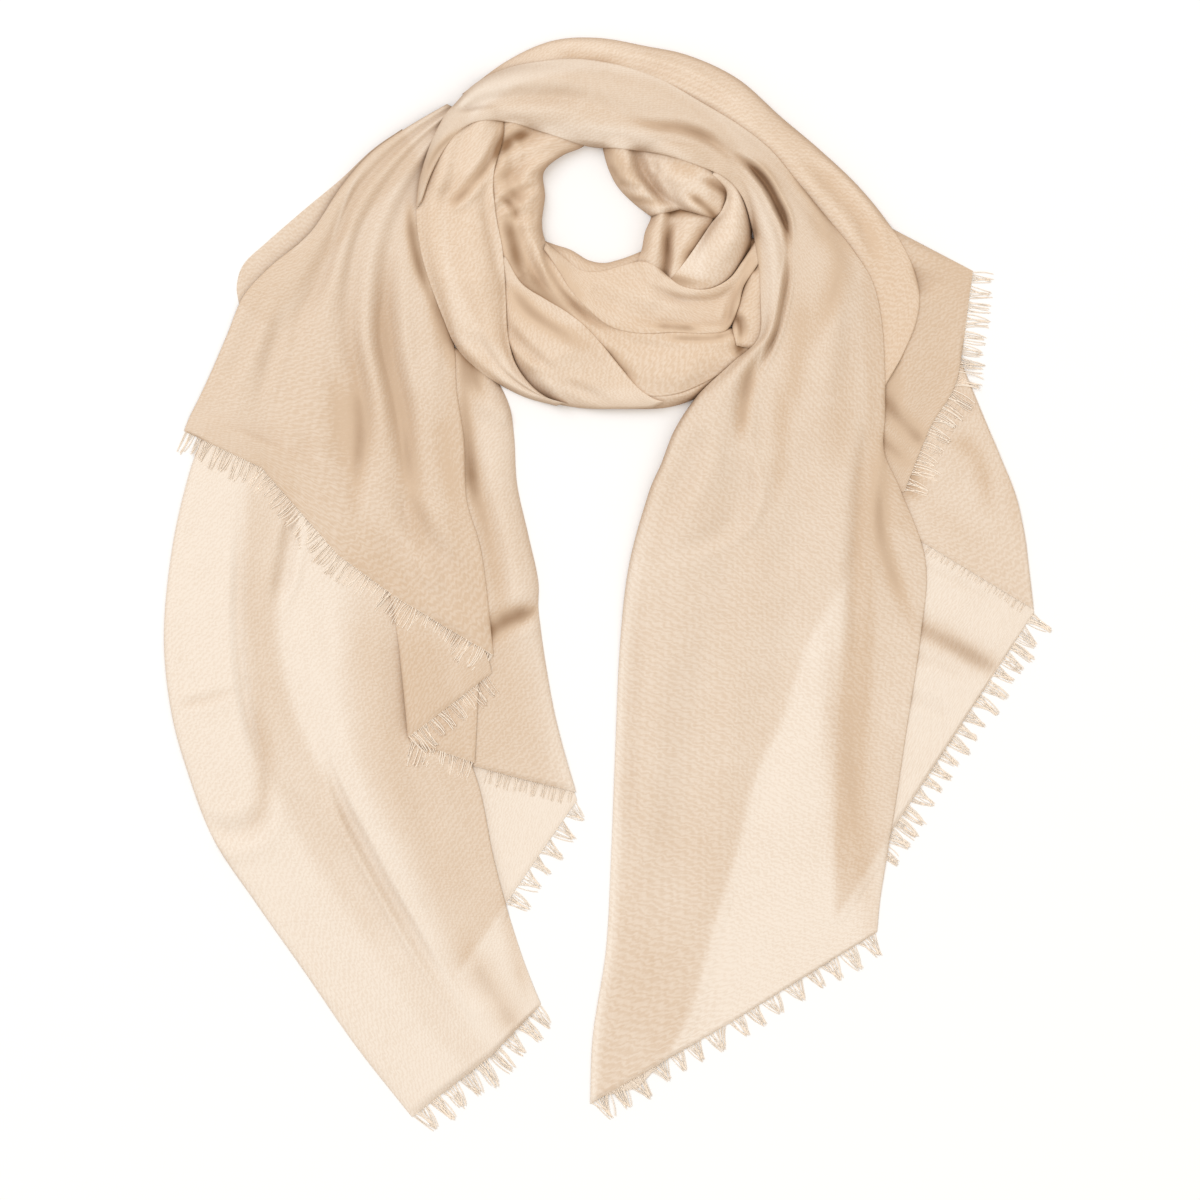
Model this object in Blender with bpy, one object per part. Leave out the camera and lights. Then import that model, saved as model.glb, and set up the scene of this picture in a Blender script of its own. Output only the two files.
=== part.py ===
"""Pashmina shawl: one fringed length of sheer wool, wound once into a neck loop and laid flat.

The shawl lies on z = 0 with its loop towards +Y and its two tails towards -Y. Every stretch of
cloth that shows is a wall of its own. A stretch is drawn on a plan, as rails that run along the
cloth and sections that cross it, and is then laid on whatever lies under it. Lengths are in
metres, apart from plan coordinates, which are in plan units: x to the right and y down the sheet.
"""

import math
from typing import NamedTuple

import bmesh
import bpy
import numpy as np

MM = 0.001

# Driving dimensions
LAID_LENGTH = 793 * MM  # from the top of the loop to the tip of the longest tail
PLAN_LENGTH = 1102.0  # the same distance in plan units
PLAN_UNIT = LAID_LENGTH / PLAN_LENGTH
PLAN_CENTRE = (602.5, 589.0)  # the plan point that lies on the origin

WALL = 2.0 * MM  # thickness of the cloth walls
SEAT_GAP = 0.35 * MM  # clearance between a stretch and what it lies on
SEAM_GAP = 0.4 * MM  # clearance between a cloth's edge and its fringe
FRINGE_WALL = 1.2 * MM
FRINGE_HEADING = 2.4 * MM  # width of the strip that the locks grow from
FRINGE_LENGTH = 15 * MM
FRINGE_TIP_WIDTH = 1.6 * MM
FRINGE_FLOOR_GAP = 0.6 * MM
LOCK_LENGTHS = (1.0, 0.84, 1.08, 0.92, 1.04)  # share of FRINGE_LENGTH, taken in turn
LOCK_LEANS = (0.10, -0.15, 0.22, -0.05, 0.12, -0.22)  # sideways share of a lock's length

RELIEF_CELL = 1.5 * MM
RELIEF_REACH = 480 * MM  # half the side of the relief's square
SAMPLE_SHARE = 0.7  # spacing of the samples of a triangle, as a share of a cell
SMOOTH_ANGLE = math.radians(40)  # edges sharper than this are shaded sharp
CORE_COLOUR = (0.62, 0.50, 0.38)
CLOTH_COLOUR = (0.84, 0.74, 0.61)
SHEER_COLOUR = (0.90, 0.82, 0.71)
SHADED_COLOUR = (0.70, 0.58, 0.45)
FRINGE_COLOUR = (0.88, 0.78, 0.66)
CLOTH_ROUGHNESS = 0.85
COLLECTION_NAME = "pashmina_shawl"


class Along(NamedTuple):
    """A height in millimetres at the start, middle and end of a stretch."""

    start: float
    middle: float
    end: float


class Crease(NamedTuple):
    """A soft trough pressed into a stretch, or a ridge where its depth is negative."""

    route: tuple  # plan points
    width: float  # plan units from its middle to where it fades
    depth: float  # millimetres


class Stretch(NamedTuple):
    """A stretch of cloth: sections of plan points, one on each rail, and its heights."""

    name: str
    sections: tuple
    rails: tuple  # height of the cloth's face along each rail
    crowns: tuple  # rise of the cloth between each rail and the next
    cells_along: int
    cells_across: tuple
    creases: tuple = ()
    roundness: float = 1.0  # 0.5 is a half ellipse, 1 a parabola
    colour: tuple = CLOTH_COLOUR
    seam_row: int = 0  # where a long stretch is parted into two walls
    tail_name: str = ""  # the name of the wall past that row


class Fringe(NamedTuple):
    """A comb of locks along part of one border of a stretch."""

    name: str
    border: str  # "end" for the last section, "right" for the last rail
    start: float
    end: float
    locks: int


FLAT = Along(2, 2, 2)
LEVEL = Along(0, 0, 0)

LEFT_BACK_PANEL = Stretch(
    "left_back_panel",
    sections=(
        # left        right
        ((345, 700), (530, 645)),
        ((372, 795), (547, 705)),
        ((418, 868), (561, 748)),
        ((444, 933), (569, 776)),
        ((461, 968), (577, 800)),
    ),
    rails=(FLAT, FLAT),
    crowns=(LEVEL,),
    cells_along=6,
    cells_across=(8,),
    colour=SHEER_COLOUR,
)

LEFT_INNER_STRIP = Stretch(
    "left_inner_strip",
    sections=(
        # left        middle      right
        ((448, 345), (470, 352), (487, 362)),
        ((446, 400), (476, 402), (508, 402)),
        ((444, 445), (478, 442), (514, 436)),
        ((446, 490), (482, 490), (517, 484)),
        ((450, 540), (494, 536), (528, 534)),
        ((455, 585), (500, 584), (538, 580)),
        ((459, 625), (502, 622), (539, 616)),
        ((464, 690), (508, 690), (550, 690)),
        ((468, 735), (516, 738), (561, 740)),
        ((473, 766), (526, 780), (576, 792)),
    ),
    rails=(FLAT, Along(5, 5, 3), FLAT),
    crowns=(Along(0.5, 1, 0.5), Along(2, 3, 0.6)),
    cells_along=12,
    cells_across=(3, 3),
    creases=(
        Crease(((494, 560), (497, 610), (500, 650)), 12, 4),
        Crease(((497, 622), (512, 610), (536, 604)), 12, 3),
        Crease(((470, 400), (500, 412), (513, 428)), 12, -2),
    ),
)

LEFT_TAIL_TURNBACK = Stretch(
    "left_tail_turnback",
    sections=(
        # left        right
        ((250, 488), (330, 520)),
        ((240, 560), (390, 600)),
        ((239, 610), (425, 650)),
        ((246, 690), (450, 710)),
        ((262, 745), (470, 770)),
        ((276, 798), (482, 830)),
        ((318, 870), (492, 870)),
        ((370, 950), (500, 905)),
        ((430, 1035), (508, 960)),
        ((478, 1070), (520, 1014)),
    ),
    rails=(FLAT, FLAT),
    crowns=(LEVEL,),
    cells_along=8,
    cells_across=(5,),
    colour=SHEER_COLOUR,
)

LEFT_FRONT_TAIL = Stretch(
    "left_front_tail",
    sections=(
        # left        fold        right
        ((208, 420), (265, 445), (330, 470)),
        ((188, 478), (282, 510), (385, 545)),
        ((172, 550), (298, 580), (425, 620)),
        ((164, 635), (306, 660), (446, 690)),
        ((171, 710), (318, 725), (463, 742)),
        ((188, 773), (337, 790), (480, 790)),
        ((214, 840), (362, 848), (493, 855)),
        ((256, 903), (392, 903), (506, 905)),
        ((304, 971), (425, 955), (520, 950)),
        ((356, 1046), (458, 1003), (531, 980)),
        ((412, 1117), (491, 1056), (541, 1004)),
    ),
    rails=(Along(3, 3.5, 2), Along(7, 5, 3.5), FLAT),
    crowns=(Along(1, 2.5, 1), Along(1, 2, 1)),
    cells_along=16,
    cells_across=(6, 5),
    creases=(
        Crease(((240, 600), (246, 690), (262, 745), (274, 790)), 18, 2.5),
        Crease(((320, 770), (337, 799), (368, 853), (425, 935), (486, 1044)), 14, 3),
        Crease(((345, 690), (352, 745), (385, 810), (430, 890), (455, 960)), 16, 2.5),
        Crease(((300, 560), (320, 640), (350, 740), (400, 850)), 14, -2.5),
        Crease(((185, 705), (215, 694), (245, 688)), 10, 1),
        Crease(((276, 790), (262, 815), (225, 838)), 12, 2),
        Crease(((290, 800), (330, 880), (400, 990), (450, 1060)), 16, 1.5),
    ),
)

LEFT_CASCADE_BACK = Stretch(
    "left_cascade_back",
    sections=(
        # left        right
        ((402, 640), (480, 650)),
        ((405, 690), (478, 700)),
        ((410, 741), (475, 763)),
    ),
    rails=(FLAT, FLAT),
    crowns=(Along(1, 1, 0.5),),
    cells_along=5,
    cells_across=(5,),
)

LEFT_CASCADE_MIDDLE = Stretch(
    "left_cascade_middle",
    sections=(
        # left        right
        ((388, 585), (468, 616)),
        ((397, 632), (482, 643)),
        ((403, 685), (489, 660)),
        ((408, 738), (492, 673)),
    ),
    rails=(Along(4, 4, 2), FLAT),
    crowns=(Along(1, 1.5, 0.5),),
    cells_along=6,
    cells_across=(6,),
    creases=(Crease(((408, 620), (414, 680), (420, 715)), 10, -2),),
)

LEFT_SHOULDER_BACK = Stretch(
    "left_shoulder_back",
    sections=(
        # outer       inner
        ((402, 129), (420, 165)),
        ((372, 150), (385, 195)),
        ((340, 180), (352, 232)),
        ((304, 210), (322, 262)),
        ((266, 243), (300, 290)),
        ((244, 264), (286, 304)),
        ((237, 285), (276, 314)),
        ((239, 304), (270, 326)),
    ),
    rails=(FLAT, FLAT),
    crowns=(Along(0.5, 1.5, 0.5),),
    cells_along=10,
    cells_across=(3,),
)

LEFT_UPPER_PANEL = Stretch(
    "left_upper_panel",
    sections=(
        # left        valley      valley      valley      right
        ((447, 104), (453, 107), (459, 110), (466, 113), (473, 116)),
        ((406, 128), (416, 133), (427, 138), (440, 143), (454, 150)),
        ((371, 153), (385, 160), (400, 168), (418, 177), (445, 185)),
        ((341, 187), (354, 196), (375, 205), (400, 215), (441, 225)),
        ((310, 233), (336, 238), (357, 245), (390, 255), (444, 268)),
        ((270, 267), (320, 282), (350, 288), (385, 300), (450, 312)),
        ((243, 297), (300, 320), (350, 330), (386, 342), (455, 352)),
        ((227, 335), (283, 360), (356, 372), (394, 378), (457, 392)),
        ((212, 370), (272, 396), (361, 412), (401, 418), (464, 440)),
        ((199, 398), (266, 425), (358, 450), (404, 462), (467, 500)),
        ((190, 416), (262, 447), (347, 500), (404, 520), (482, 555)),
        ((184, 431), (262, 468), (338, 555), (397, 598), (494, 656)),
    ),
    rails=(
        Along(8, 2.5, 2.5),
        Along(10, 3, 2.5),
        Along(12, 3, 2.5),
        Along(12, 2.5, 2.5),
        Along(10, 4, 2.5),
    ),
    crowns=(Along(1, 4, 1), Along(2, 7, 2), Along(2, 7, 3), Along(2, 8, 3)),
    cells_along=16,
    cells_across=(3, 4, 4, 4),
    creases=(
        Crease(((395, 480), (420, 530), (450, 570), (462, 600)), 16, 3),
        Crease(((330, 250), (333, 320), (325, 380)), 12, 2),
    ),
)

RIGHT_BACK_PANEL = Stretch(
    "right_back_panel",
    sections=(
        # left        right
        ((862, 345), (950, 335)),
        ((863, 430), (986, 422)),
        ((864, 520), (1012, 488)),
        ((866, 620), (1024, 530)),
        ((867, 715), (1029, 568)),
        ((869, 800), (1032, 593)),
        ((872, 862), (1034, 612)),
    ),
    rails=(FLAT, FLAT),
    crowns=(LEVEL,),
    cells_along=9,
    cells_across=(6,),
    colour=SHEER_COLOUR,
)

RIGHT_BACK_FOLD = Stretch(
    "right_back_fold",
    sections=(
        # left        right
        ((868, 345), (952, 340)),
        ((868, 395), (978, 405)),
        ((869, 435), (1000, 456)),
        ((870, 475), (1020, 512)),
        ((872, 512), (1033, 609)),
    ),
    rails=(FLAT, FLAT),
    crowns=(Along(1, 2.5, 0.4),),
    cells_along=7,
    cells_across=(6,),
    creases=(Crease(((945, 438), (970, 452), (985, 475), (991, 510)), 14, 3),),
)

RIGHT_UPPER_PANEL = Stretch(
    "right_upper_panel",
    sections=(
        # left        right
        ((868, 216), (973, 271)),
        ((862, 280), (969, 300)),
        ((864, 335), (963, 345)),
        ((866, 385), (954, 388)),
        ((868, 435), (930, 428)),
        ((872, 490), (904, 492)),
    ),
    rails=(Along(6, 6, 3), FLAT),
    crowns=(Along(1, 4, 1),),
    cells_along=10,
    cells_across=(6,),
    creases=(
        Crease(((905, 262), (922, 282), (950, 290)), 12, 3),
        Crease(((884, 400), (900, 425), (935, 438)), 10, 2),
    ),
)

HOLE_RIM_FOLD = Stretch(
    "hole_rim_fold",
    sections=(
        # outer       rim
        ((528, 262), (541, 241)),
        ((545, 270), (556, 244)),
        ((562, 282), (572, 253)),
        ((582, 292), (585, 261)),
        ((604, 292), (604, 263)),
        ((622, 285), (617, 262)),
        ((640, 282), (630, 256)),
        ((655, 280), (642, 250)),
    ),
    rails=(Along(12, 12, 12), Along(4, 4, 4)),
    crowns=(Along(3, 3, 3),),
    cells_along=10,
    cells_across=(3,),
    roundness=0.6,
    colour=SHADED_COLOUR,
)

KNOT_INNER_FOLD = Stretch(
    "knot_inner_fold",
    sections=(
        # rim         groove      outer
        ((648, 205), (668, 206), (712, 206)),
        ((649, 219), (672, 220), (712, 222)),
        ((644, 232), (668, 236), (704, 238)),
        ((642, 248), (667, 250), (697, 252)),
        ((640, 262), (666, 268), (690, 268)),
        ((640, 278), (664, 284), (684, 284)),
        ((645, 292), (664, 296), (680, 296)),
    ),
    rails=(Along(5, 5, 8), Along(8, 8, 8), Along(12, 12, 12)),
    crowns=(Along(6, 8, 4), Along(3, 4, 2)),
    cells_along=9,
    cells_across=(4, 4),
    roundness=0.55,
    colour=SHADED_COLOUR,
)

KNOT_UPPER_FOLD = Stretch(
    "knot_upper_fold",
    sections=(
        # rim         groove      outer
        ((601, 140), (640, 145), (720, 160)),
        ((605, 160), (641, 160), (728, 172)),
        ((611, 179), (648, 179), (731, 188)),
        ((620, 195), (656, 192), (730, 202)),
        ((636, 207), (664, 203), (722, 214)),
        ((651, 216), (674, 209), (712, 216)),
    ),
    rails=(Along(5, 5, 5), Along(11, 11, 10), Along(16, 14, 10)),
    crowns=(Along(6, 7, 3), Along(7, 9, 5)),
    cells_along=9,
    cells_across=(4, 6),
    roundness=0.55,
    creases=(Crease(((700, 180), (716, 187), (727, 195)), 6, 3),),
    colour=SHADED_COLOUR,
)

RING_INNER_LEFT = Stretch(
    "ring_inner_left",
    sections=(
        # outer       groove      rim
        ((500, 112), (535, 118), (585, 124)),
        ((494, 140), (524, 142), (580, 147)),
        ((488, 172), (512, 176), (544, 170)),
        ((490, 198), (516, 200), (545, 198)),
        ((494, 226), (520, 226), (540, 227)),
        ((496, 258), (522, 254), (543, 244)),
        ((498, 290), (520, 284), (548, 262)),
        ((500, 330), (516, 318), (552, 284)),
    ),
    rails=(Along(12, 12, 12), Along(13, 11, 12), Along(5, 5, 10)),
    crowns=(Along(5, 6, 4), Along(7, 8, 5)),
    cells_along=10,
    cells_across=(4, 4),
    roundness=0.55,
    creases=(
        Crease(((498, 207), (510, 200), (532, 182)), 6, 4),
        Crease(((514, 230), (513, 245), (518, 262)), 8, 5),
    ),
    colour=SHADED_COLOUR,
)

FRONT_LOWER_SWAG = Stretch(
    "front_lower_swag",
    sections=(
        # outer       inner
        ((502, 290), (530, 284)),
        ((503, 325), (552, 306)),
        ((510, 356), (576, 328)),
        ((525, 380), (598, 352)),
        ((555, 402), (618, 372)),
        ((592, 408), (636, 392)),
        ((632, 408), (655, 393)),
        ((668, 406), (684, 388)),
        ((700, 393), (712, 374)),
        ((722, 372), (730, 356)),
    ),
    rails=(Along(5, 3, 6), Along(14, 13, 10)),
    crowns=(Along(5, 8, 4),),
    cells_along=13,
    cells_across=(6,),
    roundness=0.6,
    creases=(Crease(((512, 340), (530, 362), (562, 392)), 8, -1.5),),
)

FRONT_MIDDLE_SWAG = Stretch(
    "front_middle_swag",
    sections=(
        # lower       upper
        ((536, 288), (548, 270)),
        ((562, 312), (572, 286)),
        ((588, 340), (592, 308)),
        ((613, 366), (618, 322)),
        ((640, 393), (645, 326)),
        ((672, 392), (672, 326)),
        ((702, 384), (702, 326)),
        ((732, 366), (724, 320)),
        ((756, 344), (738, 318)),
        ((763, 312), (752, 304)),
    ),
    rails=(Along(12, 8, 8), Along(12, 11, 11)),
    crowns=(Along(4, 10, 6),),
    cells_along=13,
    cells_across=(6,),
    roundness=0.6,
    creases=(
        Crease(((578, 322), (600, 328), (618, 334)), 6, 2),
        Crease(((600, 350), (620, 362), (640, 376)), 9, 3),
    ),
)

FRONT_UPPER_SWAG = Stretch(
    "front_upper_swag",
    sections=(
        # lower       upper
        ((538, 262), (548, 246)),
        ((556, 276), (566, 262)),
        ((576, 298), (590, 273)),
        ((598, 320), (612, 267)),
        ((622, 332), (634, 261)),
        ((650, 334), (656, 271)),
        ((680, 335), (678, 289)),
        ((712, 335), (708, 292)),
        ((730, 318), (724, 280)),
        ((738, 292), (736, 266)),
        ((756, 262), (742, 252)),
    ),
    rails=(Along(10, 10, 10), Along(10, 13, 12)),
    crowns=(Along(4, 9, 6),),
    cells_along=14,
    cells_across=(6,),
    roundness=0.6,
)

KNOT_SIDE_FOLD = Stretch(
    "knot_side_fold",
    sections=(
        # left        right
        ((742, 238), (764, 238)),
        ((741, 262), (764, 262)),
        ((739, 284), (764, 286)),
        ((736, 302), (764, 310)),
        ((740, 325), (763, 332)),
        ((745, 343), (758, 346)),
    ),
    rails=(Along(9, 10, 9), Along(9, 10, 9)),
    crowns=(Along(3, 6, 5),),
    cells_along=8,
    cells_across=(4,),
    roundness=0.55,
)

KNOT_OUTER_SWAG = Stretch(
    "knot_outer_swag",
    sections=(
        # outer       inner
        ((722, 170), (708, 182)),
        ((738, 184), (726, 200)),
        ((748, 206), (720, 216)),
        ((752, 230), (705, 232)),
        ((747, 252), (693, 252)),
        ((736, 272), (684, 270)),
        ((719, 289), (676, 282)),
        ((696, 296), (668, 285)),
        ((676, 291), (662, 281)),
    ),
    rails=(Along(14, 11, 12), Along(12, 15, 12)),
    crowns=(Along(4, 9, 4),),
    cells_along=12,
    cells_across=(5,),
    roundness=0.6,
)

RING_LEFT_LOBE = Stretch(
    "ring_left_lobe",
    sections=(
        # outer       fold        inner
        ((448, 122), (470, 112), (500, 112)),
        ((430, 160), (462, 150), (503, 138)),
        ((419, 192), (452, 190), (492, 178)),
        ((417, 222), (448, 224), (502, 220)),
        ((421, 252), (454, 258), (505, 260)),
        ((429, 283), (462, 294), (506, 300)),
        ((443, 318), (474, 328), (509, 335)),
        ((465, 357), (488, 356), (513, 360)),
        ((494, 377), (506, 374), (520, 376)),
        ((524, 393), (530, 388), (538, 389)),
        ((557, 404), (560, 401), (563, 399)),
    ),
    rails=(Along(6, 4, 4), Along(20, 22, 8), Along(14, 13, 6)),
    crowns=(Along(4, 3, 2), Along(3, 4, 2)),
    cells_along=16,
    cells_across=(4, 4),
    roundness=0.6,
    creases=(Crease(((504, 128), (492, 150), (470, 183), (452, 206)), 8, 8),),
)

ARCH_OUTER_BAND = Stretch(
    "arch_outer_band",
    sections=(
        # outer       inner
        ((466, 92), (480, 100)),
        ((507, 61), (512, 94)),
        ((552, 41), (546, 88)),
        ((598, 38), (590, 88)),
        ((645, 46), (632, 95)),
        ((690, 56), (668, 108)),
        ((738, 79), (710, 130)),
        ((781, 117), (745, 156)),
        ((820, 150), (778, 186)),
        ((858, 186), (810, 225)),
        ((888, 223), (838, 262)),
        ((910, 261), (856, 306)),
        ((919, 294), (863, 345)),
        ((915, 325), (866, 385)),
        ((900, 360), (868, 415)),
    ),
    rails=(Along(4, 4, 2), Along(12, 12, 2)),
    crowns=(Along(3, 10, 0.5),),
    cells_along=20,
    cells_across=(5,),
    roundness=0.6,
    creases=(Crease(((660, 52), (692, 66), (722, 83), (753, 102)), 8, 2),),
)

RIGHT_TAIL_TURNBACK = Stretch(
    "right_tail_turnback",
    sections=(
        # left        right
        ((640, 560), (830, 560)),
        ((628, 620), (806, 640)),
        ((622, 700), (772, 712)),
        ((619, 780), (741, 780)),
        ((617, 860), (714, 858)),
        ((613, 940), (690, 930)),
        ((602, 1010), (672, 996)),
        ((597, 1060), (652, 1048)),
        ((596, 1098), (628, 1090)),
    ),
    rails=(FLAT, FLAT),
    crowns=(LEVEL,),
    cells_along=10,
    cells_across=(5,),
    colour=SHEER_COLOUR,
)

ARCH_MIDDLE_BAND = Stretch(
    "arch_middle_band",
    sections=(
        # outer       groove      inner
        ((417, 210), (419, 207), (422, 203)),
        ((420, 180), (426, 177), (432, 175)),
        ((431, 145), (438, 147), (446, 149)),
        ((447, 114), (455, 121), (463, 130)),
        ((475, 84), (480, 104), (485, 122)),
        ((507, 69), (512, 97), (516, 125)),
        ((543, 62), (547, 97), (551, 136)),
        ((581, 60), (583, 102), (584, 146)),
        ((622, 67), (620, 115), (620, 150)),
        ((661, 81), (657, 127), (654, 154)),
        ((700, 103), (697, 136), (691, 165)),
        ((738, 126), (731, 157), (724, 179)),
        ((770, 151), (757, 184), (742, 199)),
        ((797, 183), (775, 216), (752, 231)),
        ((826, 218), (788, 247), (758, 266)),
        ((852, 250), (787, 284), (760, 300)),
        ((872, 282), (781, 323), (758, 338)),
        ((881, 320), (767, 353), (732, 363)),
        ((884, 362), (752, 384), (698, 395)),
        ((885, 410), (746, 420), (675, 429)),
        ((884, 452), (743, 458), (661, 464)),
        ((901, 492), (736, 494), (648, 495)),
        ((925, 560), (733, 562), (629, 565)),
        ((921, 632), (732, 640), (620, 645)),
        ((905, 738), (730, 750), (615, 758)),
        ((895, 805), (728, 840), (611, 860)),
        ((886, 862), (730, 912), (606, 950)),
        ((880, 900), (735, 975), (593, 1035)),
        ((877, 932), (728, 1024), (590, 1104)),
    ),
    rails=(Along(6, 5, 2), Along(22, 5, 3), Along(6, 7, 2)),
    crowns=(Along(5, 9, 1), Along(6, 9, 1)),
    cells_along=38,
    cells_across=(6, 6),
    roundness=0.75,
    creases=(
        Crease(((655, 126), (700, 137), (735, 160), (765, 196), (787, 246)), 6, 12),
        Crease(((787, 246), (784, 310), (762, 364), (747, 410)), 5, 8),
        Crease(((768, 400), (768, 480), (762, 518), (725, 555), (665, 583)), 16, 5),
        Crease(((742, 410), (742, 460), (738, 490)), 10, 4),
        Crease(((856, 470), (857, 560), (861, 660), (849, 770), (851, 860)), 12, 4),
        Crease(((878, 440), (877, 520), (885, 560), (898, 580)), 9, 4),
        Crease(((800, 520), (780, 620), (760, 720)), 22, -2),
    ),
    seam_row=20,
    tail_name="right_front_tail",
)

# The order in which the stretches lie, from the floor up, each with its fringes
LAYERS = (
    (LEFT_BACK_PANEL, (Fringe("left_back_fringe", "end", 0.38, 1.0, 10),)),
    (LEFT_INNER_STRIP, (Fringe("left_strip_fringe", "end", 0.12, 1.0, 7),)),
    (LEFT_TAIL_TURNBACK, ()),
    (LEFT_FRONT_TAIL, (Fringe("left_tail_fringe", "end", 0.0, 1.0, 12),)),
    (LEFT_CASCADE_BACK, (Fringe("cascade_back_fringe", "end", 0.0, 1.0, 5),)),
    (LEFT_CASCADE_MIDDLE, (Fringe("cascade_middle_fringe", "end", 0.0, 0.96, 7),)),
    (LEFT_SHOULDER_BACK, ()),
    (LEFT_UPPER_PANEL, (Fringe("left_upper_fringe", "end", 0.0, 1.0, 25),)),
    (RIGHT_BACK_PANEL, (Fringe("right_back_fringe", "end", 0.02, 1.0, 19),)),
    (RIGHT_BACK_FOLD, (Fringe("right_fold_fringe", "end", 0.34, 0.96, 7),)),
    (RIGHT_UPPER_PANEL, (Fringe("right_upper_fringe", "right", 0.0, 1.0, 16),)),
)
LOOP_STRETCHES = (
    HOLE_RIM_FOLD,
    KNOT_INNER_FOLD,
    KNOT_UPPER_FOLD,
    RING_INNER_LEFT,
    FRONT_LOWER_SWAG,
    FRONT_MIDDLE_SWAG,
    FRONT_UPPER_SWAG,
    KNOT_SIDE_FOLD,
    KNOT_OUTER_SWAG,
    RING_LEFT_LOBE,
    ARCH_OUTER_BAND,
)
FRONT_LAYERS = (
    (RIGHT_TAIL_TURNBACK, ()),
    (ARCH_MIDDLE_BAND, (Fringe("right_tail_fringe", "end", 0.0, 1.0, 22),)),
)

# The hidden turns inside the loop: stations round it, and its half width and height there
CORE_STATIONS = (
    # x,   y,   half width, height
    (590, 102, 30, 9),
    (524, 114, 20, 9),
    (483, 152, 19, 9),
    (475, 220, 25, 9),
    (487, 290, 25, 9),
    (528, 332, 24, 8),
    (590, 350, 34, 8),
    (660, 340, 36, 8),
    (715, 300, 28, 8),
    (722, 235, 26, 9),
    (716, 170, 24, 9),
    (660, 118, 26, 9),
)
CORE_STATION_COUNT = 28
CORE_CELLS_ACROSS = 6


def to_world(plan_x, plan_y):
    """Turn plan coordinates into metres on the floor."""
    x = (np.asarray(plan_x, float) - PLAN_CENTRE[0]) * PLAN_UNIT
    y = (PLAN_CENTRE[1] - np.asarray(plan_y, float)) * PLAN_UNIT
    return x, y


def spline(points, stations):
    """Read a Catmull-Rom curve through rows of numbers at fractional row numbers."""
    points = np.asarray(points, float)
    before = 2 * points[0] - points[1]
    after = 2 * points[-1] - points[-2]
    padded = np.concatenate([before[None], points, after[None]])
    row = np.clip(np.floor(stations).astype(int), 0, len(points) - 2)
    t = (stations - row).reshape((-1,) + (1,) * (points.ndim - 1))
    p0, p1, p2, p3 = (padded[row + k] for k in range(4))
    curve = (p2 - p0) * t + (2 * p0 - 5 * p1 + 4 * p2 - p3) * t**2
    return p1 + 0.5 * (curve + (3 * p1 - p0 - 3 * p2 + p3) * t**3)


def even_stations(points, count):
    """Row numbers that part the mean rail of a stretch into equal lengths."""
    dense = np.linspace(0, len(points) - 1, 40 * len(points))
    middle = spline(np.asarray(points, float).mean(axis=1), dense)
    steps = np.linalg.norm(np.diff(middle, axis=0), axis=1)
    travelled = np.concatenate([[0], np.cumsum(steps)])
    return np.interp(np.linspace(0, travelled[-1], count), travelled, dense)


def along(height, share):
    """Read an Along height, in metres, at shares of a stretch's length."""
    return np.interp(share, (0, 0.5, 1), height) * MM


def crease_relief(crease, plan_x, plan_y):
    """Depth of one crease, in metres, at plan points."""
    route = spline(crease.route, np.linspace(0, len(crease.route) - 1, 8 * len(crease.route)))
    away = np.hypot(plan_x[..., None] - route[:, 0], plan_y[..., None] - route[:, 1])
    nearest = away.argmin(axis=-1)
    share = nearest / (len(route) - 1)
    fade = np.clip(4 * share, 0.25, 1) * np.clip(4 * (1 - share), 0.25, 1)
    spread = away.min(axis=-1) / crease.width
    return crease.depth * MM * fade * np.exp(-2 * spread**2)


def stretch_surface(stretch):
    """Plan x, plan y and free height of a stretch's upper face, as grids."""
    stations = even_stations(stretch.sections, stretch.cells_along + 1)
    share = np.linspace(0, 1, stretch.cells_along + 1)
    rails = spline(stretch.sections, stations)
    columns_x, columns_y, columns_z = [], [], []
    for index, cells in enumerate(stretch.cells_across):
        left, right = rails[:, index], rails[:, index + 1]
        low = along(stretch.rails[index], share)
        high = along(stretch.rails[index + 1], share)
        crown = along(stretch.crowns[index], share)
        for cell in range(cells + (index == len(stretch.cells_across) - 1)):
            across = cell / cells
            if stretch.roundness < 1:
                across = 0.5 - 0.5 * math.cos(math.pi * across)
            columns_x.append(left[:, 0] * (1 - across) + right[:, 0] * across)
            columns_y.append(left[:, 1] * (1 - across) + right[:, 1] * across)
            rise = (4 * across * (1 - across)) ** stretch.roundness
            columns_z.append(low * (1 - across) + high * across + crown * rise)
    x, y, z = (np.stack(columns, axis=1) for columns in (columns_x, columns_y, columns_z))
    for crease in stretch.creases:
        z = z - crease_relief(crease, x, y)
    return x, y, np.maximum(z, WALL)


class Relief:
    """Height of all that has been laid so far, on a fine square grid over the floor."""

    def __init__(self):
        """Start with bare floor."""
        self.count = int(2 * RELIEF_REACH / RELIEF_CELL)
        self.height = np.zeros((self.count, self.count))

    def spread(self):
        """The relief with each cell raised to the highest of its neighbours."""
        padded = np.pad(self.height, 1)
        shifts = [(i, j) for i in range(3) for j in range(3)]
        windows = [padded[i : i + self.count, j : j + self.count] for i, j in shifts]
        return np.max(windows, axis=0)

    def add(self, points, triangles):
        """Raise the relief to a face that has been laid."""
        for x, y, z in triangle_samples(points, triangles):
            np.maximum.at(self.height, relief_cell(x, y), z)


def triangle_samples(points, triangles):
    """Points all over each triangle, closer together than the relief's cells."""
    corners = points[triangles]
    size = np.ptp(corners[..., :2], axis=1).max()
    count = max(2, int(math.ceil(size / (SAMPLE_SHARE * RELIEF_CELL))))
    for i in range(count + 1):
        for j in range(count + 1 - i):
            weights = np.array([i, j, count - i - j]) / count
            yield np.einsum("tcx,c->xt", corners, weights)


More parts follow.
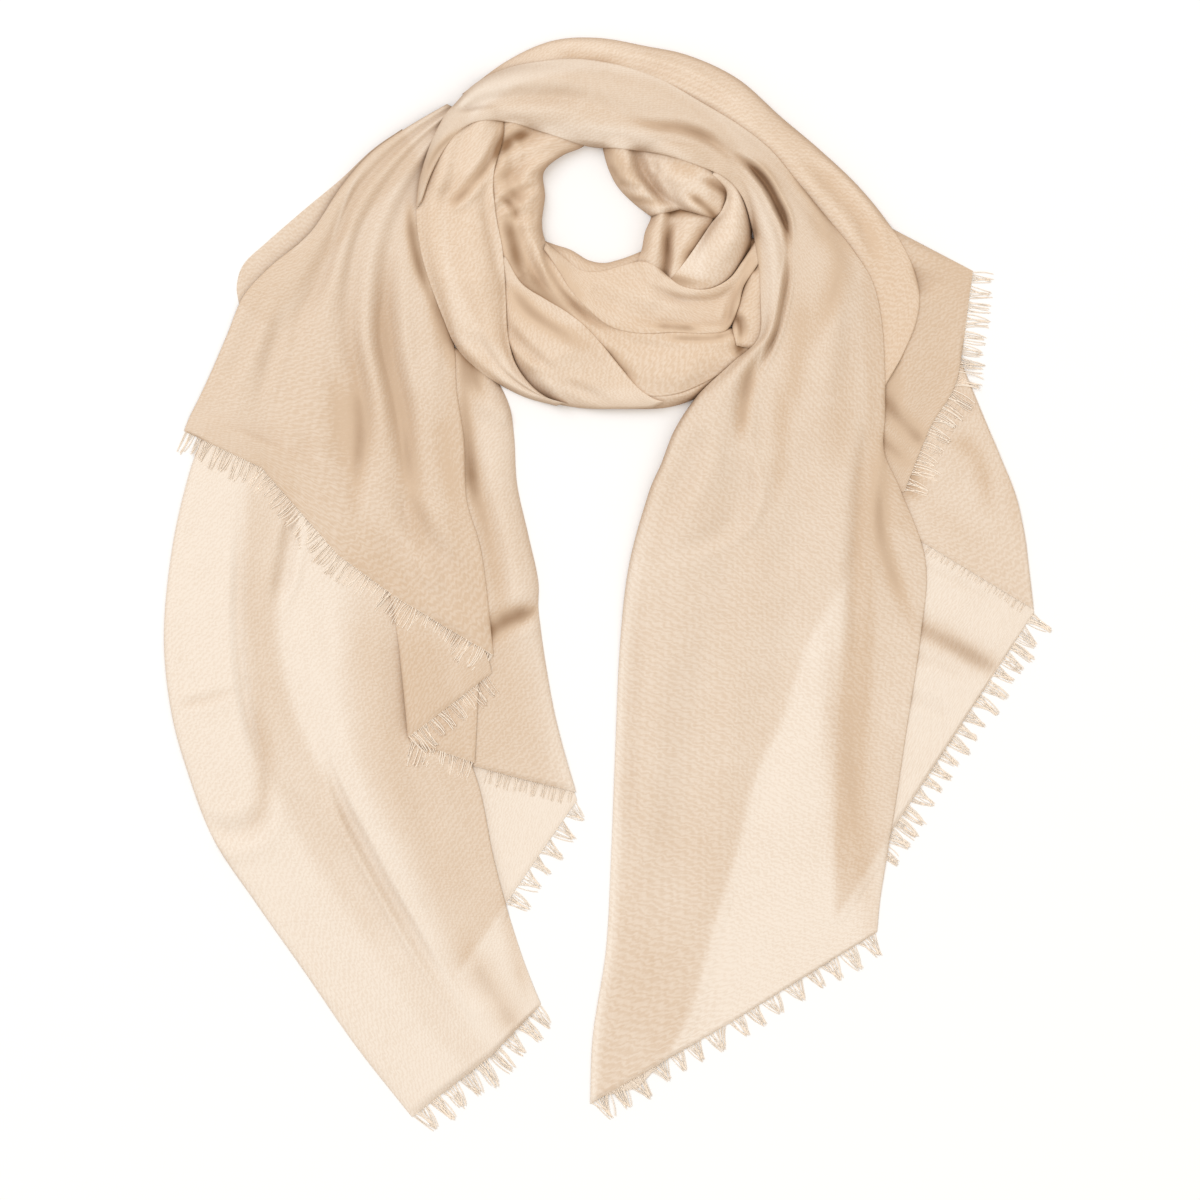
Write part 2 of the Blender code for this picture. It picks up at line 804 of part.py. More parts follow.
def shortfall(x, y, z, wall, ground):
    """How far a wall's upper face has to rise to clear the ground."""
    below = ground[relief_cell(x, y)]
    lift = below + SEAT_GAP + wall - z
    return np.where(below > 0, np.maximum(lift, 0), 0)


def lay(points, triangles, wall, ground):
    """Raise the points of a face until a wall of that thickness clears the ground."""
    laid = points.copy()
    laid[:, 2] += shortfall(*laid.T, wall, ground)
    lift = np.zeros(len(points))
    for x, y, z in triangle_samples(laid, triangles):
        short = shortfall(x, y, z, wall, ground)
        for corner in range(3):
            np.maximum.at(lift, triangles[:, corner], short)
    laid[:, 2] += lift
    return laid


def relief_cell(x, y):
    """Row and column of the relief under points in metres."""
    column = ((x + RELIEF_REACH) / RELIEF_CELL).astype(int)
    row = ((y + RELIEF_REACH) / RELIEF_CELL).astype(int)
    return row, column


def material(name, colour):
    """A matt woven finish."""
    finish = bpy.data.materials.new(name)
    finish.use_nodes = True
    shader = finish.node_tree.nodes["Principled BSDF"]
    shader.inputs["Base Color"].default_value = (*colour, 1.0)
    shader.inputs["Roughness"].default_value = CLOTH_ROUGHNESS
    shader.inputs["Metallic"].default_value = 0.0
    return finish


def grid_face(columns, rows, keep=None):
    """A bmesh grid whose points know their place, cut into triangles, with unwanted cells out."""
    bm = bmesh.new()
    bmesh.ops.create_grid(bm, x_segments=columns, y_segments=rows, size=1.0)
    place = bm.verts.layers.int.new("place")
    for vert in bm.verts:
        column = round((vert.co.x + 1) / 2 * columns)
        row = round((vert.co.y + 1) / 2 * rows)
        vert[place] = row * (columns + 1) + column
    if keep is not None:
        unwanted = [face for face in bm.faces if not keep(*face_cell(face, columns, rows))]
        bmesh.ops.delete(bm, geom=unwanted, context="FACES")
    bmesh.ops.triangulate(bm, faces=bm.faces[:], quad_method="FIXED")
    return bm, place


def face_cell(face, columns, rows):
    """Column and row of a cell of the unit grid."""
    centre = face.calc_center_median()
    return int((centre.x + 1) / 2 * columns), int((centre.y + 1) / 2 * rows)


def wall_object(name, bm, place, top, bottom, colour, collection):
    """Give a face of the grid its thickness downwards and make it an object."""
    low = list(bm.verts)
    extruded = bmesh.ops.extrude_face_region(bm, geom=bm.faces[:])["geom"]
    high = [item for item in extruded if isinstance(item, bmesh.types.BMVert)]
    for vert in low:
        vert.co = bottom[vert[place]]
    for vert in high:
        vert.co = top[vert[place]]
    bmesh.ops.recalc_face_normals(bm, faces=bm.faces[:])
    mesh = bpy.data.meshes.new(name)
    bm.to_mesh(mesh)
    bm.free()
    mesh.shade_smooth()
    mesh.set_sharp_from_angle(angle=SMOOTH_ANGLE)
    mesh.materials.append(material(name, colour))
    collection.objects.link(bpy.data.objects.new(name, mesh))


def grid_triangles(bm, place):
    """The places of each triangle's corners."""
    return np.array([[vert[place] for vert in face.verts] for face in bm.faces])


def lay_stretch(stretch, relief, collection):
    """Lay one stretch on the relief and return its laid face as grids in metres."""
    plan_x, plan_y, z = stretch_surface(stretch)
    shape = plan_x.shape
    x, y = to_world(plan_x, plan_y)
    bm, place = grid_face(shape[1] - 1, shape[0] - 1)
    triangles = grid_triangles(bm, place)
    bm.free()
    free = np.stack([x.ravel(), y.ravel(), z.ravel()], axis=1)
    top = lay(free, triangles, WALL, relief.spread())
    relief.add(top, triangles)
    face = top.reshape(shape + (3,))
    if stretch.seam_row:
        before, after = part_at_seam(face, stretch.seam_row)
        stretch_wall(stretch.name, before, stretch.colour, collection)
        stretch_wall(stretch.tail_name, after, stretch.colour, collection)
    else:
        stretch_wall(stretch.name, face, stretch.colour, collection)
    return face


def part_at_seam(face, row):
    """Part a laid face into two at a row, with a fine gap between them."""
    before, after = face[: row + 1].copy(), face[row:].copy()
    for half, edge, inner in ((before, -1, -2), (after, 0, 1)):
        inward = half[inner] - half[edge]
        half[edge] += inward * (SEAM_GAP / 2 / np.linalg.norm(inward, axis=1))[:, None]
    return before, after


def stretch_wall(name, face, colour, collection):
    """Make the wall that lies under one laid face."""
    bm, place = grid_face(face.shape[1] - 1, face.shape[0] - 1)
    top = face.reshape(-1, 3)
    wall_object(name, bm, place, top, top - (0, 0, WALL), colour, collection)


def border_points(face, border):
    """The points of one border of a laid face, and of the line next to it."""
    if border == "end":
        return face[-1], face[-2]
    return face[:, -1], face[:, -2]


def polyline_points(points, shares):
    """Points of a polyline at shares of its plan length."""
    steps = np.linalg.norm(np.diff(points[:, :2], axis=0), axis=1)
    travelled = np.concatenate([[0], np.cumsum(steps)])
    places = np.asarray(shares) * travelled[-1]
    return np.stack([np.interp(places, travelled, points[:, k]) for k in range(3)], axis=1)


def fringe_rows(fringe, face):
    """The three lines of a comb: its heading's two sides, and the ends of its locks."""
    edge, inner = border_points(face, fringe.border)
    shares = np.linspace(fringe.start, fringe.end, 2 * fringe.locks)
    root = polyline_points(edge, shares)
    back = polyline_points(inner, shares)
    tangent = np.gradient(root[:, :2], axis=0)
    tangent /= np.linalg.norm(tangent, axis=1)[:, None]
    outward = np.stack([tangent[:, 1], -tangent[:, 0]], axis=1)
    outward *= np.sign(((root - back)[:, :2] * outward).sum(axis=1).mean())
    tips = root.copy()
    pitch = np.linalg.norm(root[1, :2] - root[0, :2])
    for lock in range(fringe.locks):
        pair = slice(2 * lock, 2 * lock + 2)
        length = FRINGE_LENGTH * LOCK_LENGTHS[lock % len(LOCK_LENGTHS)]
        lean = LOCK_LEANS[lock % len(LOCK_LEANS)]
        middle = root[pair].mean(axis=0)
        middle[:2] += outward[2 * lock] * length + tangent[2 * lock] * lean * min(length, pitch)
        half = tangent[2 * lock] * FRINGE_TIP_WIDTH / 2
        tips[2 * lock, :2] = middle[:2] - half
        tips[2 * lock + 1, :2] = middle[:2] + half
    tips[:, 2] = FRINGE_FLOOR_GAP + FRINGE_WALL
    near, far = root.copy(), root.copy()
    near[:, :2] += outward * SEAM_GAP
    far[:, :2] += outward * (SEAM_GAP + FRINGE_HEADING)
    return np.stack([near, far, tips])


def lay_fringe(fringe, face, ground, relief, collection):
    """Lay one comb of locks beside a border of a laid face."""
    lines = fringe_rows(fringe, face)
    columns = lines.shape[1] - 1

    def is_cloth(column, row):
        """The heading is whole, and every other cell past it is a lock."""
        return row == 0 or column % 2 == 0

    bm, place = grid_face(columns, 2, is_cloth)
    triangles = grid_triangles(bm, place)
    free = lines.reshape(-1, 3)
    free[:, 2] = np.maximum(free[:, 2], FRINGE_FLOOR_GAP + FRINGE_WALL)
    top = lay(free, triangles, FRINGE_WALL, ground)
    bottom = top - (0, 0, FRINGE_WALL)
    wall_object(fringe.name, bm, place, top, bottom, FRINGE_COLOUR, collection)
    relief.add(top, triangles)


def lay_core(relief, collection):
    """The hidden turns of the loop, one rounded ring that lies on the floor."""
    closed = np.array(CORE_STATIONS + CORE_STATIONS[:3], float)
    stations = np.linspace(0, len(CORE_STATIONS), CORE_STATION_COUNT + 1)[:-1]
    ring = spline(closed, stations)
    ring_x, ring_y = to_world(ring[:, 0], ring[:, 1])
    tangent_x = np.roll(ring_x, -1) - np.roll(ring_x, 1)
    tangent_y = np.roll(ring_y, -1) - np.roll(ring_y, 1)
    length = np.hypot(tangent_x, tangent_y)
    bm = bmesh.new()
    loops = []
    tops = []
    for index in range(CORE_STATION_COUNT):
        side = np.array([tangent_y[index], -tangent_x[index]]) / length[index]
        loop = []
        for cell in range(CORE_CELLS_ACROSS + 1):
            angle = math.pi * cell / CORE_CELLS_ACROSS
            reach = ring[index, 2] * PLAN_UNIT * math.cos(angle)
            height = ring[index, 3] * MM * math.sin(angle)
            point = (ring_x[index] + side[0] * reach, ring_y[index] + side[1] * reach, height)
            loop.append(bm.verts.new(point))
            tops.append(point)
        loops.append(loop)
    triangles = []
    width = CORE_CELLS_ACROSS + 1
    for index, loop in enumerate(loops):
        following = loops[(index + 1) % CORE_STATION_COUNT]
        for cell in range(CORE_CELLS_ACROSS):
            bm.faces.new((loop[cell], loop[cell + 1], following[cell + 1], following[cell]))
            here = index * width + cell
            there = ((index + 1) % CORE_STATION_COUNT) * width + cell
            triangles.append((here, here + 1, there + 1))
            triangles.append((here, there + 1, there))
        bm.faces.new((loop[-1], loop[0], following[0], following[-1]))
    bmesh.ops.recalc_face_normals(bm, faces=bm.faces[:])
    mesh = bpy.data.meshes.new("ring_core")
    bm.to_mesh(mesh)
    bm.free()
    mesh.shade_smooth()
    mesh.set_sharp_from_angle(angle=SMOOTH_ANGLE)
    mesh.materials.append(material("ring_core", CORE_COLOUR))
    collection.objects.link(bpy.data.objects.new("ring_core", mesh))
    relief.add(np.array(tops), np.array(triangles))


def clear_scene():
    """Remove whatever objects the file opens with."""
    for scene_object in list(bpy.data.objects):
        bpy.data.objects.remove(scene_object, do_unlink=True)


def main():
    """Lay the shawl from the floor up."""
    clear_scene()
    collection = bpy.data.collections.new(COLLECTION_NAME)
    bpy.context.scene.collection.children.link(collection)
    relief = Relief()

    def lay_layers(layers):
        """Lay stretches one on another, each fringe on what its cloth lies on."""
        for stretch, fringes in layers:
            ground = relief.spread()
            face = lay_stretch(stretch, relief, collection)
            for fringe in fringes:
                lay_fringe(fringe, face, ground, relief, collection)

    lay_layers(LAYERS)
    lay_core(relief, collection)
    lay_layers((stretch, ()) for stretch in LOOP_STRETCHES)
    lay_layers(FRONT_LAYERS)


main()
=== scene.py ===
"""Looks of a sheer pashmina shawl, wound once into a neck loop and laid flat.

Each stretch of the cloth that shows is a soft woven sheet on the form of its solid. It is drawn on
a plan, as rails that run along the cloth and sections that cross it, and then laid on whatever lies
under it. Lengths are in metres unless a name says otherwise, and plan points are in plan units.
"""

import logging
import math
from dataclasses import dataclass, field
from enum import Enum

import bpy
import numpy as np
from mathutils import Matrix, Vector


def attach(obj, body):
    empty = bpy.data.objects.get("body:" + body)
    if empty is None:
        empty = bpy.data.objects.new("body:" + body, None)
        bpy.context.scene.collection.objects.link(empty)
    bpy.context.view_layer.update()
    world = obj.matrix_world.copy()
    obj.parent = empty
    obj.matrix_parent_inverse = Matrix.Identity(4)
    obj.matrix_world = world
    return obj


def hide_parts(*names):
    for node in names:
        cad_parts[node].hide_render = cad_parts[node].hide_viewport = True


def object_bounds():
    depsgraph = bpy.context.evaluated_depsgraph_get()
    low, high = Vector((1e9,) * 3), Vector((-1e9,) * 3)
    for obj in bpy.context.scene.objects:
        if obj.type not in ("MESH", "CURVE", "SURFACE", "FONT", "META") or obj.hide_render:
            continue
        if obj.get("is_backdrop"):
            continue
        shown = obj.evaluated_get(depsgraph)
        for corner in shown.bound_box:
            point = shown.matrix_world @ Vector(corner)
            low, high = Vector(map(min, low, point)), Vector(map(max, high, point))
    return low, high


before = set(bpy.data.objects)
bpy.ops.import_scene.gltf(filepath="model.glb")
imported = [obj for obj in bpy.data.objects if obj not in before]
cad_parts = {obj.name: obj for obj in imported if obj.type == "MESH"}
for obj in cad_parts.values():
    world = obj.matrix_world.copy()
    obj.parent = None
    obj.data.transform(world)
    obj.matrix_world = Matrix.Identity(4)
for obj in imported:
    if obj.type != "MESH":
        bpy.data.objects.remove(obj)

LOG = logging.getLogger("pashmina_shawl")

MM = 0.001

# The plan, and where it lies on the floor
LAID_LENGTH = 793 * MM  # from the top of the loop to the tip of the longest tail
PLAN_LENGTH = 1102.0  # the same distance in plan units
PLAN_UNIT = LAID_LENGTH / PLAN_LENGTH
PLAN_CENTRE = (602.5, 589.0)
FRAME_CENTRE = (600.0, 600.0)  # the plan point that the camera looks down on
FRAME_WIDTH = 1200.0  # plan units across the view

# A crease
CREASE_SAMPLES = 12  # points read along it, for each point of its route
CREASE_FADE = 3  # it fades over one part in this many of its length, at each end
CREASE_TIP = 0.6  # width of its ends, as a share of its full width
CREASE_UNEVEN = 0.18  # how far its strength wanders
CREASE_WAVES = (9, 5)  # how often it wanders, in radians over its length
CREASE_PHASE = 1.3
TROUGH_FALL = 2  # how fast the trough fades from its middle
LIP_FALL = 3  # how fast the lip beside it fades
LIP_PLACE = 1.5  # where the lip stands, in widths of the trough

# The cloth
SAMPLES_A_ROW = 40  # points read along a sheet's mean rail, for each row of its table
LEAST_CELLS_ALONG = 6
LEAST_CELLS_ACROSS = 4
VALLEY_ROUND = 2.0  # roundness of the cloth beside a rail that isn't a border
SHEET_CELL = 2.4 * MM  # spacing of a sheet's points
ARCH_CELL = 1.8 * MM  # and of the stretch that runs over the loop
LOOP_CELL = 1.5 * MM  # and of the loop's own folds
SHEET_GAP = 1.1 * MM  # from one sheet to the sheet that lies on it
SOFTNESS = 1.6 * MM  # how gently a sheet bends where it meets what it lies on
RELIEF_CELL = 1.5 * MM
RELIEF_REACH = 480 * MM  # half the side of the relief's square
RELIEF_SPLITS = 3  # a sheet's cell is read at this many points each way
BRIDGED_CELLS = 2  # how far cloth bridges a step in what it lies on
BRIDGED_BLUR = 3  # and how often the bridge is softened
BARE_FLOOR = 0.2 * MM  # relief lower than this is bare floor
FLOOR_GAP = 0.5 * MM
BORDER_GAP = 0.35 * MM  # from a border to what it lies on
OPEN_ROLL = 4.0 * PLAN_UNIT  # how far an open border takes to come down
TURN_STEPS = ((0.02, 0.22), (0.12, 0.52), (0.38, 0.82), (0.80, 0.97), (1.25, 1.0))
TURN_LEAST = 0.8 * MM  # the least drop round a fold
TURN_MOST = 7 * MM  # the drop that its width is counted from, at most
TURN_CLEARANCE = 0.1 * SHEET_GAP  # from the turned cloth to what it lies on
TURN_FLOOR = 0.15 * MM  # and to the floor
LAYER_SHADE = 0.62  # how fast the painted tone deepens with the layers beneath, in place of less floor light showing through them
LAYER_MOST = 0.86  # the deepest painted tone that layers give
SLOPE_SHADE = 0.45  # painted shade on steep cloth, which also looks denser there
BORDER_SHOWS = 0.15  # how much a sheet's very border shows through what lies on it
# Painted shade in the hollows between folds, from how much of the sky the relief hides
SKY_DIRECTIONS = 12
SKY_REACHES = (1.5 * MM, 3 * MM, 5 * MM, 8 * MM, 12 * MM, 18 * MM)
SKY_BIAS = 0.6 * MM
SKY_SHADE = 1.1  # how dark the painted shade in the hollows between folds is
SKY_BLUR = 2  # how often their tone is softened
POCKET_SHADE_START = 0.4  # a crease whose painted shade is deeper than this also adds to the painted hollow shade
EDGE_HEIGHT = 0.06  # height of a folded edge, as a share of the cloth's height inside it
TINY = 1e-9  # keeps a division by no length at all from failing

# The weave
THREAD_PITCH = 2.6 * MM  # yarns lie in pairs, this far apart
WARP_SLUBS = 30  # thick places in a metre of warp
WEFT_SLUBS = 26  # and of weft
SLUB_SHARE = 0.65  # of the slubs, where they mix with the threads
YARN_SHARE = 0.55  # of both, where they mix with the crimp
WEAVE_SHARE = 0.6  # of the weave, where it mixes with broad cloudy patches
CRIMP_SCALE = 150.0  # of the crimp's waves, as the texture counts it
WAVES_A_UNIT = 10  # what the wave texture counts as one

# The fringe
STRAND_LENGTH = 14.5 * MM
STRAND_RADIUS = 0.34 * MM
STRAND_SIDES = 3
STRAND_STEPS = 5
STRAND_TIP = 0.45  # radius of its tip, as a share of its root's
TUFT_STRAY = 0.18  # how far the parting between two tufts strays, in pitches
TUFT_LEAN = 0.15  # how far a tuft leans to a side, in pitches
TUFT_LENGTHS = (0.82, 1.12)
YARN_STRAY = 0.25  # how far a strand's root strays, in spaces from root to root
YARN_LEAN = 0.06  # how far a strand leans to a side, in its own lengths
YARN_LENGTHS = (0.86, 1.08)
ROOT_DEPTH = 0.6 * MM  # how far the roots lie inside the border
TIP_GAP = 0.7 * MM  # from a tip to what it lies on
EDGE_STEP = 2 * MM  # how far apart a border is read for its direction

Plan = tuple[float, float]
Socket = bpy.types.NodeSocket


class Side(Enum):
    """A border of a sheet, named by where it lies in the sheet's table."""

    START = "start"
    END = "end"
    LEFT = "left"
    RIGHT = "right"


class Weight(Enum):
    """How closely the cloth shows its weave and what lies under it."""

    SHEER = "pashmina_sheer"
    WOUND = "pashmina_wound"


class Along:
    """A number that changes along a sheet, given at even steps from its start to its end."""

    def __init__(self, *values: float) -> None:
        """Keep the numbers.

        Args:
            values: Heights in millimetres, or numbers of plies.
        """
        self.values = values

    def at(self, share: np.ndarray) -> np.ndarray:
        """The number at shares of the sheet's length."""
        return np.interp(share, np.linspace(0, 1, len(self.values)), self.values)


@dataclass(frozen=True)
class Crease:
    """A soft trough in a sheet, or a ridge where its depth is negative.

    Attributes:
        route: Plan points that the crease follows.
        width: Plan units from its middle to where it fades.
        depth: Millimetres.
        lip: Rise of the cloth beside the trough, as a share of its depth.
        tone: How much painted shade it lays along its trough, where 1 is the deepest; a negative
            tone paints a highlight.
    """

    route: tuple[Plan, ...]
    width: float
    depth: float
    lip: float = 0.25
    tone: float = 0.0

    def profile(self, x: np.ndarray, y: np.ndarray) -> tuple[np.ndarray, np.ndarray]:
        """How strong the crease is at plan points.

        Args:
            x: Plan x of the points.
            y: Plan y of the points.

        Returns:
            Distance from its middle over its width, and strength along it from 0 to 1.
        """
        samples = np.linspace(0, len(self.route) - 1, CREASE_SAMPLES * len(self.route))
        route = spline(self.route, samples)
        away = np.full(x.shape, np.inf)
        share = np.zeros(x.shape)
        for index, point in enumerate(route):
            distance = np.hypot(x - point[0], y - point[1])
            nearer = distance < away
            away = np.where(nearer, distance, away)
            share = np.where(nearer, index / (len(route) - 1), share)
        fade = smooth_step(CREASE_FADE * share) * smooth_step(CREASE_FADE * (1 - share))
        often, seldom = CREASE_WAVES
        wander = CREASE_UNEVEN * np.sin(often * share + self.route[0][0])
        uneven = 1 + wander * np.sin(seldom * share + CREASE_PHASE)
        return away / (self.width * (CREASE_TIP + (1 - CREASE_TIP) * fade)), fade * uneven

    def relief(self, x: np.ndarray, y: np.ndarray) -> np.ndarray:
        """Depth of the crease at plan points.

        Args:
            x: Plan x of the points.
            y: Plan y of the points.

        Returns:
            How far the cloth goes down at each point, in metres.
        """
        spread, strength = self.profile(x, y)
        lip = self.lip * np.exp(-LIP_FALL * (spread - LIP_PLACE) ** 2)
        trough = np.exp(-TROUGH_FALL * spread**2) - lip
        return self.depth * MM * strength * trough

    def shade(self, x: np.ndarray, y: np.ndarray) -> np.ndarray:
        """How much painted shade the crease lays at plan points; a painted highlight where its tone
        is negative.
        """
        spread, strength = self.profile(x, y)
        return self.tone * strength * np.exp(-TROUGH_FALL * spread**2)


def smooth_step(share: float | np.ndarray) -> float | np.ndarray:
    """Rise from 0 to 1 with level ends."""
    share = np.clip(share, 0, 1)
    return share * share * (3 - 2 * share)


def spline(points: object, stations: np.ndarray) -> np.ndarray:
    """Read a Catmull-Rom curve through rows of numbers.

    Args:
        points: The rows that the curve goes through.
        stations: Fractional row numbers.

    Returns:
        One row of numbers a station.
    """
    rows = np.asarray(points, float)
    before = 2 * rows[0] - rows[1]
    after = 2 * rows[-1] - rows[-2]
    padded = np.concatenate([before[None], rows, after[None]])
    row = np.clip(np.floor(stations).astype(int), 0, len(rows) - 2)
    t = (stations - row).reshape((-1,) + (1,) * (rows.ndim - 1))
    p0, p1, p2, p3 = (padded[row + k] for k in range(4))
    curve = (p2 - p0) * t + (2 * p0 - 5 * p1 + 4 * p2 - p3) * t**2
    return p1 + 0.5 * (curve + (3 * p1 - p0 - 3 * p2 + p3) * t**3)


def to_world(x: np.ndarray, y: np.ndarray) -> tuple[np.ndarray, np.ndarray]:
    """Turn plan coordinates into metres on the floor.

    Args:
        x: Plan x.
        y: Plan y.

    Returns:
        World x and y.
    """
    world_x = (np.asarray(x, float) - PLAN_CENTRE[0]) * PLAN_UNIT
    world_y = (PLAN_CENTRE[1] - np.asarray(y, float)) * PLAN_UNIT
    return world_x, world_y


def to_plan(x: np.ndarray, y: np.ndarray) -> tuple[np.ndarray, np.ndarray]:
    """Turn metres on the floor into plan coordinates."""
    return PLAN_CENTRE[0] + x / PLAN_UNIT, PLAN_CENTRE[1] - y / PLAN_UNIT


def travelled(points: np.ndarray) -> np.ndarray:
    """Distance along a line of points, from its first point to each."""
    steps = np.linalg.norm(np.diff(points, axis=0), axis=1)
    return np.concatenate([[0], np.cumsum(steps)])


def even_stations(sections: object, count: int) -> np.ndarray:
    """Row numbers that part the mean rail of a table into equal lengths.

    Args:
        sections: Rows of points, one on each rail.
        count: How many row numbers to give, both ends included.

    Returns:
        Fractional row numbers.
    """
    rows = np.asarray(sections, float)
    dense = np.linspace(0, len(rows) - 1, SAMPLES_A_ROW * len(rows))
    places = travelled(spline(rows.mean(axis=1), dense))
    return np.interp(np.linspace(0, places[-1], count), places, dense)


@dataclass(frozen=True)
class Tufts:
    """Loose warp ends along part of a border, gathered into tufts.

    Attributes:
        side: The border that they hang from.
        start: Share of the border where they start.
        end: Share of the border where they end.
        stands_for: The solids that they stand for.
        pitch: Plan units from one tuft to the next.
        gather: How far the strands of a tuft lean together, from 0 to 1.
        length: Share of the usual strand length.
        per_tuft: Strands in each tuft.
        lean: Sideways share of the strands' length, towards the border's end.
    """

    side: Side
    start: float
    end: float
    stands_for: tuple[str, ...] = ()
    pitch: float = 21.0
    gather: float = 0.75
    length: float = 1.0
    per_tuft: int = 10
    lean: float = 0.0


@dataclass(frozen=True)
class Stretch:
    """A stretch of cloth: its outline, its heights and its creases.

    Attributes:
        name: Name of its sheet.
        stands_for: The solids that it stands for.
        sections: Rows of plan points, one on each rail.
        rails: Height of the cloth along each rail.
        crowns: Rise of the cloth between each rail and the next.
        finish: Which woven finish it has.
        folds: Borders where the cloth turns under.
        creases: Its troughs and ridges.
        roundness: 0.5 is a half ellipse from rail to rail, 1 a parabola.
        tufts: Its fringes.
        plies: Hidden layers of cloth folded into it, which deepen its painted tone.
        shows: How much it deepens the painted tone of what lies on it.
        fade: Plan units from its long borders over which it comes to show.
        roll: Plan units over which its folded borders round down.
        cell: Spacing of its points, in metres.
        rests_on: What it lies on; not used, as the loom lays each sheet on whatever lies under it.
    """

    name: str
    stands_for: tuple[str, ...]
    sections: tuple
    rails: tuple[Along, ...]
    crowns: tuple[Along, ...]
    finish: Weight = Weight.SHEER
    folds: tuple[Side, ...] = ()
    creases: tuple[Crease, ...] = ()
    roundness: float = 1.0
    tufts: tuple[Tufts, ...] = ()
    plies: Along = Along(0, 0)
    shows: Along = Along(1, 1)
    fade: float = 3.0
    roll: float = 6.0
    cell: float = SHEET_CELL
    rests_on: tuple[str, ...] = ("floor",)

    def free_face(self) -> np.ndarray:
        """Shape the sheet before it is laid.

        Returns:
            Its points in metres, as a grid of rows and columns.
        """
        rows = np.asarray(self.sections, float)
        length = travelled(rows.mean(axis=1))[-1] * PLAN_UNIT
        along_count = max(LEAST_CELLS_ALONG, math.ceil(length / self.cell))
        stations = even_stations(self.sections, along_count + 1)
        share = np.linspace(0, 1, along_count + 1)
        rails = spline(self.sections, stations)
        columns = []
        last = len(self.rails) - 2
        for index in range(last + 1):
            left, right = rails[:, index], rails[:, index + 1]
            width = np.linalg.norm(right - left, axis=1).max() * PLAN_UNIT
            cells = max(LEAST_CELLS_ACROSS, math.ceil(width / self.cell))
            low, high = self.rails[index].at(share) * MM, self.rails[index + 1].at(share) * MM
            crown = self.crowns[index].at(share) * MM
            from_round = self.roundness if index == 0 else VALLEY_ROUND
            to_round = self.roundness if index == last else VALLEY_ROUND
            for cell in range(cells + (index == last)):
                across = (1 - math.cos(math.pi * cell / cells)) / 2
                plan = left * (1 - across) + right * across
                rise = math.sin(math.pi * across) ** (from_round * (1 - across) + to_round * across)
                lean = smooth_step(across) if last else across
                if last and index == 0:
                    lean = np.where(high > low, math.sqrt(1 - (1 - across) ** 2), lean)
                if last and index == last:
                    lean = np.where(low > high, 1 - math.sqrt(1 - across**2), lean)
                height = low * (1 - lean) + high * lean + crown * rise
                columns.append(np.column_stack([plan, height]))
        face = np.stack(columns, axis=1)
        for crease in self.creases:
            face[..., 2] -= crease.relief(face[..., 0], face[..., 1])
        face[..., 0], face[..., 1] = to_world(face[..., 0], face[..., 1])
        face[..., 2] = np.maximum(face[..., 2], FLOOR_GAP)
        return face


@dataclass(frozen=True)
class LoopFold(Stretch):
    """A fold of the neck loop, wound closely, so that little shows through what lies on it."""

    finish: Weight = Weight.WOUND
    cell: float = LOOP_CELL
    shows: Along = Along(0.2, 0.2)
    roundness: float = 0.5


FLAT = Along(1, 1, 1)

LEFT_BACK_PANEL = Stretch(
    "left_back_panel",
    ("left_back_panel",),
    sections=(
        # left        right
        ((338, 560), (500, 560)),
        ((338, 690), (530, 645)),
        ((366, 795), (547, 705)),
        ((404, 868), (561, 748)),
        ((432, 933), (569, 776)),
        ((452, 981), (577, 800)),
    ),
    rails=(FLAT, FLAT),
    crowns=(Along(0, 0.6, 0.3),),
    fade=40,
    shows=Along(0.3, 1.6, 1.9, 1.7, 1.4),
    folds=(Side.LEFT,),
    tufts=(Tufts(Side.END, 0.42, 1.0, ("left_back_fringe",), 20, 0.85, per_tuft=12),),
)

LEFT_INNER_STRIP = Stretch(
    "left_inner_strip",
    ("left_inner_strip",),
    sections=(
        # left        middle      right
        ((448, 345), (470, 352), (487, 362)),
        ((446, 400), (476, 402), (508, 402)),
        ((444, 445), (478, 442), (514, 436)),
        ((446, 490), (482, 490), (517, 484)),
        ((450, 540), (494, 536), (528, 534)),
        ((455, 585), (500, 584), (538, 580)),
        ((459, 625), (502, 622), (539, 616)),
        ((464, 690), (508, 690), (550, 690)),
        ((468, 735), (516, 738), (561, 740)),
        ((473, 766), (526, 780), (576, 792)),
    ),
    rails=(FLAT, Along(5, 5, 3), FLAT),
    crowns=(Along(0.5, 1, 0.5), Along(2, 3, 0.6)),
    plies=Along(1.2, 1.0, 0.1),
    folds=(Side.RIGHT,),
    tufts=(Tufts(Side.END, 0.12, 1.0, ("left_strip_fringe",), 9, 0.35, 0.75, 4),),
    creases=(
        Crease(((462, 340), (464, 395), (470, 440), (472, 480), (478, 520)), 10, 2, 0.2, 0.6),
        Crease(((448, 290), (466, 350), (484, 410)), 17, 1, 0, 1.0),
        Crease(((460, 400), (470, 460), (484, 520), (498, 580), (508, 650)), 12, 2, 0.3, 0.5),
        Crease(((470, 650), (504, 622), (552, 604)), 13, 3, 0.3, 1.0),
        Crease(((470, 400), (500, 412), (513, 428)), 12, -2),
    ),
)

LEFT_TAIL_TURNBACK = Stretch(
    "left_tail_turnback",
    ("left_tail_turnback",),
    sections=(
        # left        right
        ((246, 450), (300, 480)),
        ((243, 500), (296, 530)),
        ((239, 560), (284, 580)),
        ((239, 610), (280, 620)),
        ((244, 670), (286, 670)),
        ((254, 730), (304, 730)),
        ((272, 790), (336, 790)),
        ((312, 860), (368, 850)),
        ((364, 940), (412, 920)),
        ((424, 1030), (458, 1000)),
        ((470, 1074), (494, 1050)),
    ),
    rails=(FLAT, FLAT),
    crowns=(Along(0, 0.6, 0.3),),
    fade=16,
    shows=Along(0.6, 1.3, 1.2, 0.8, 0.5, 0.35, 0.3),
)

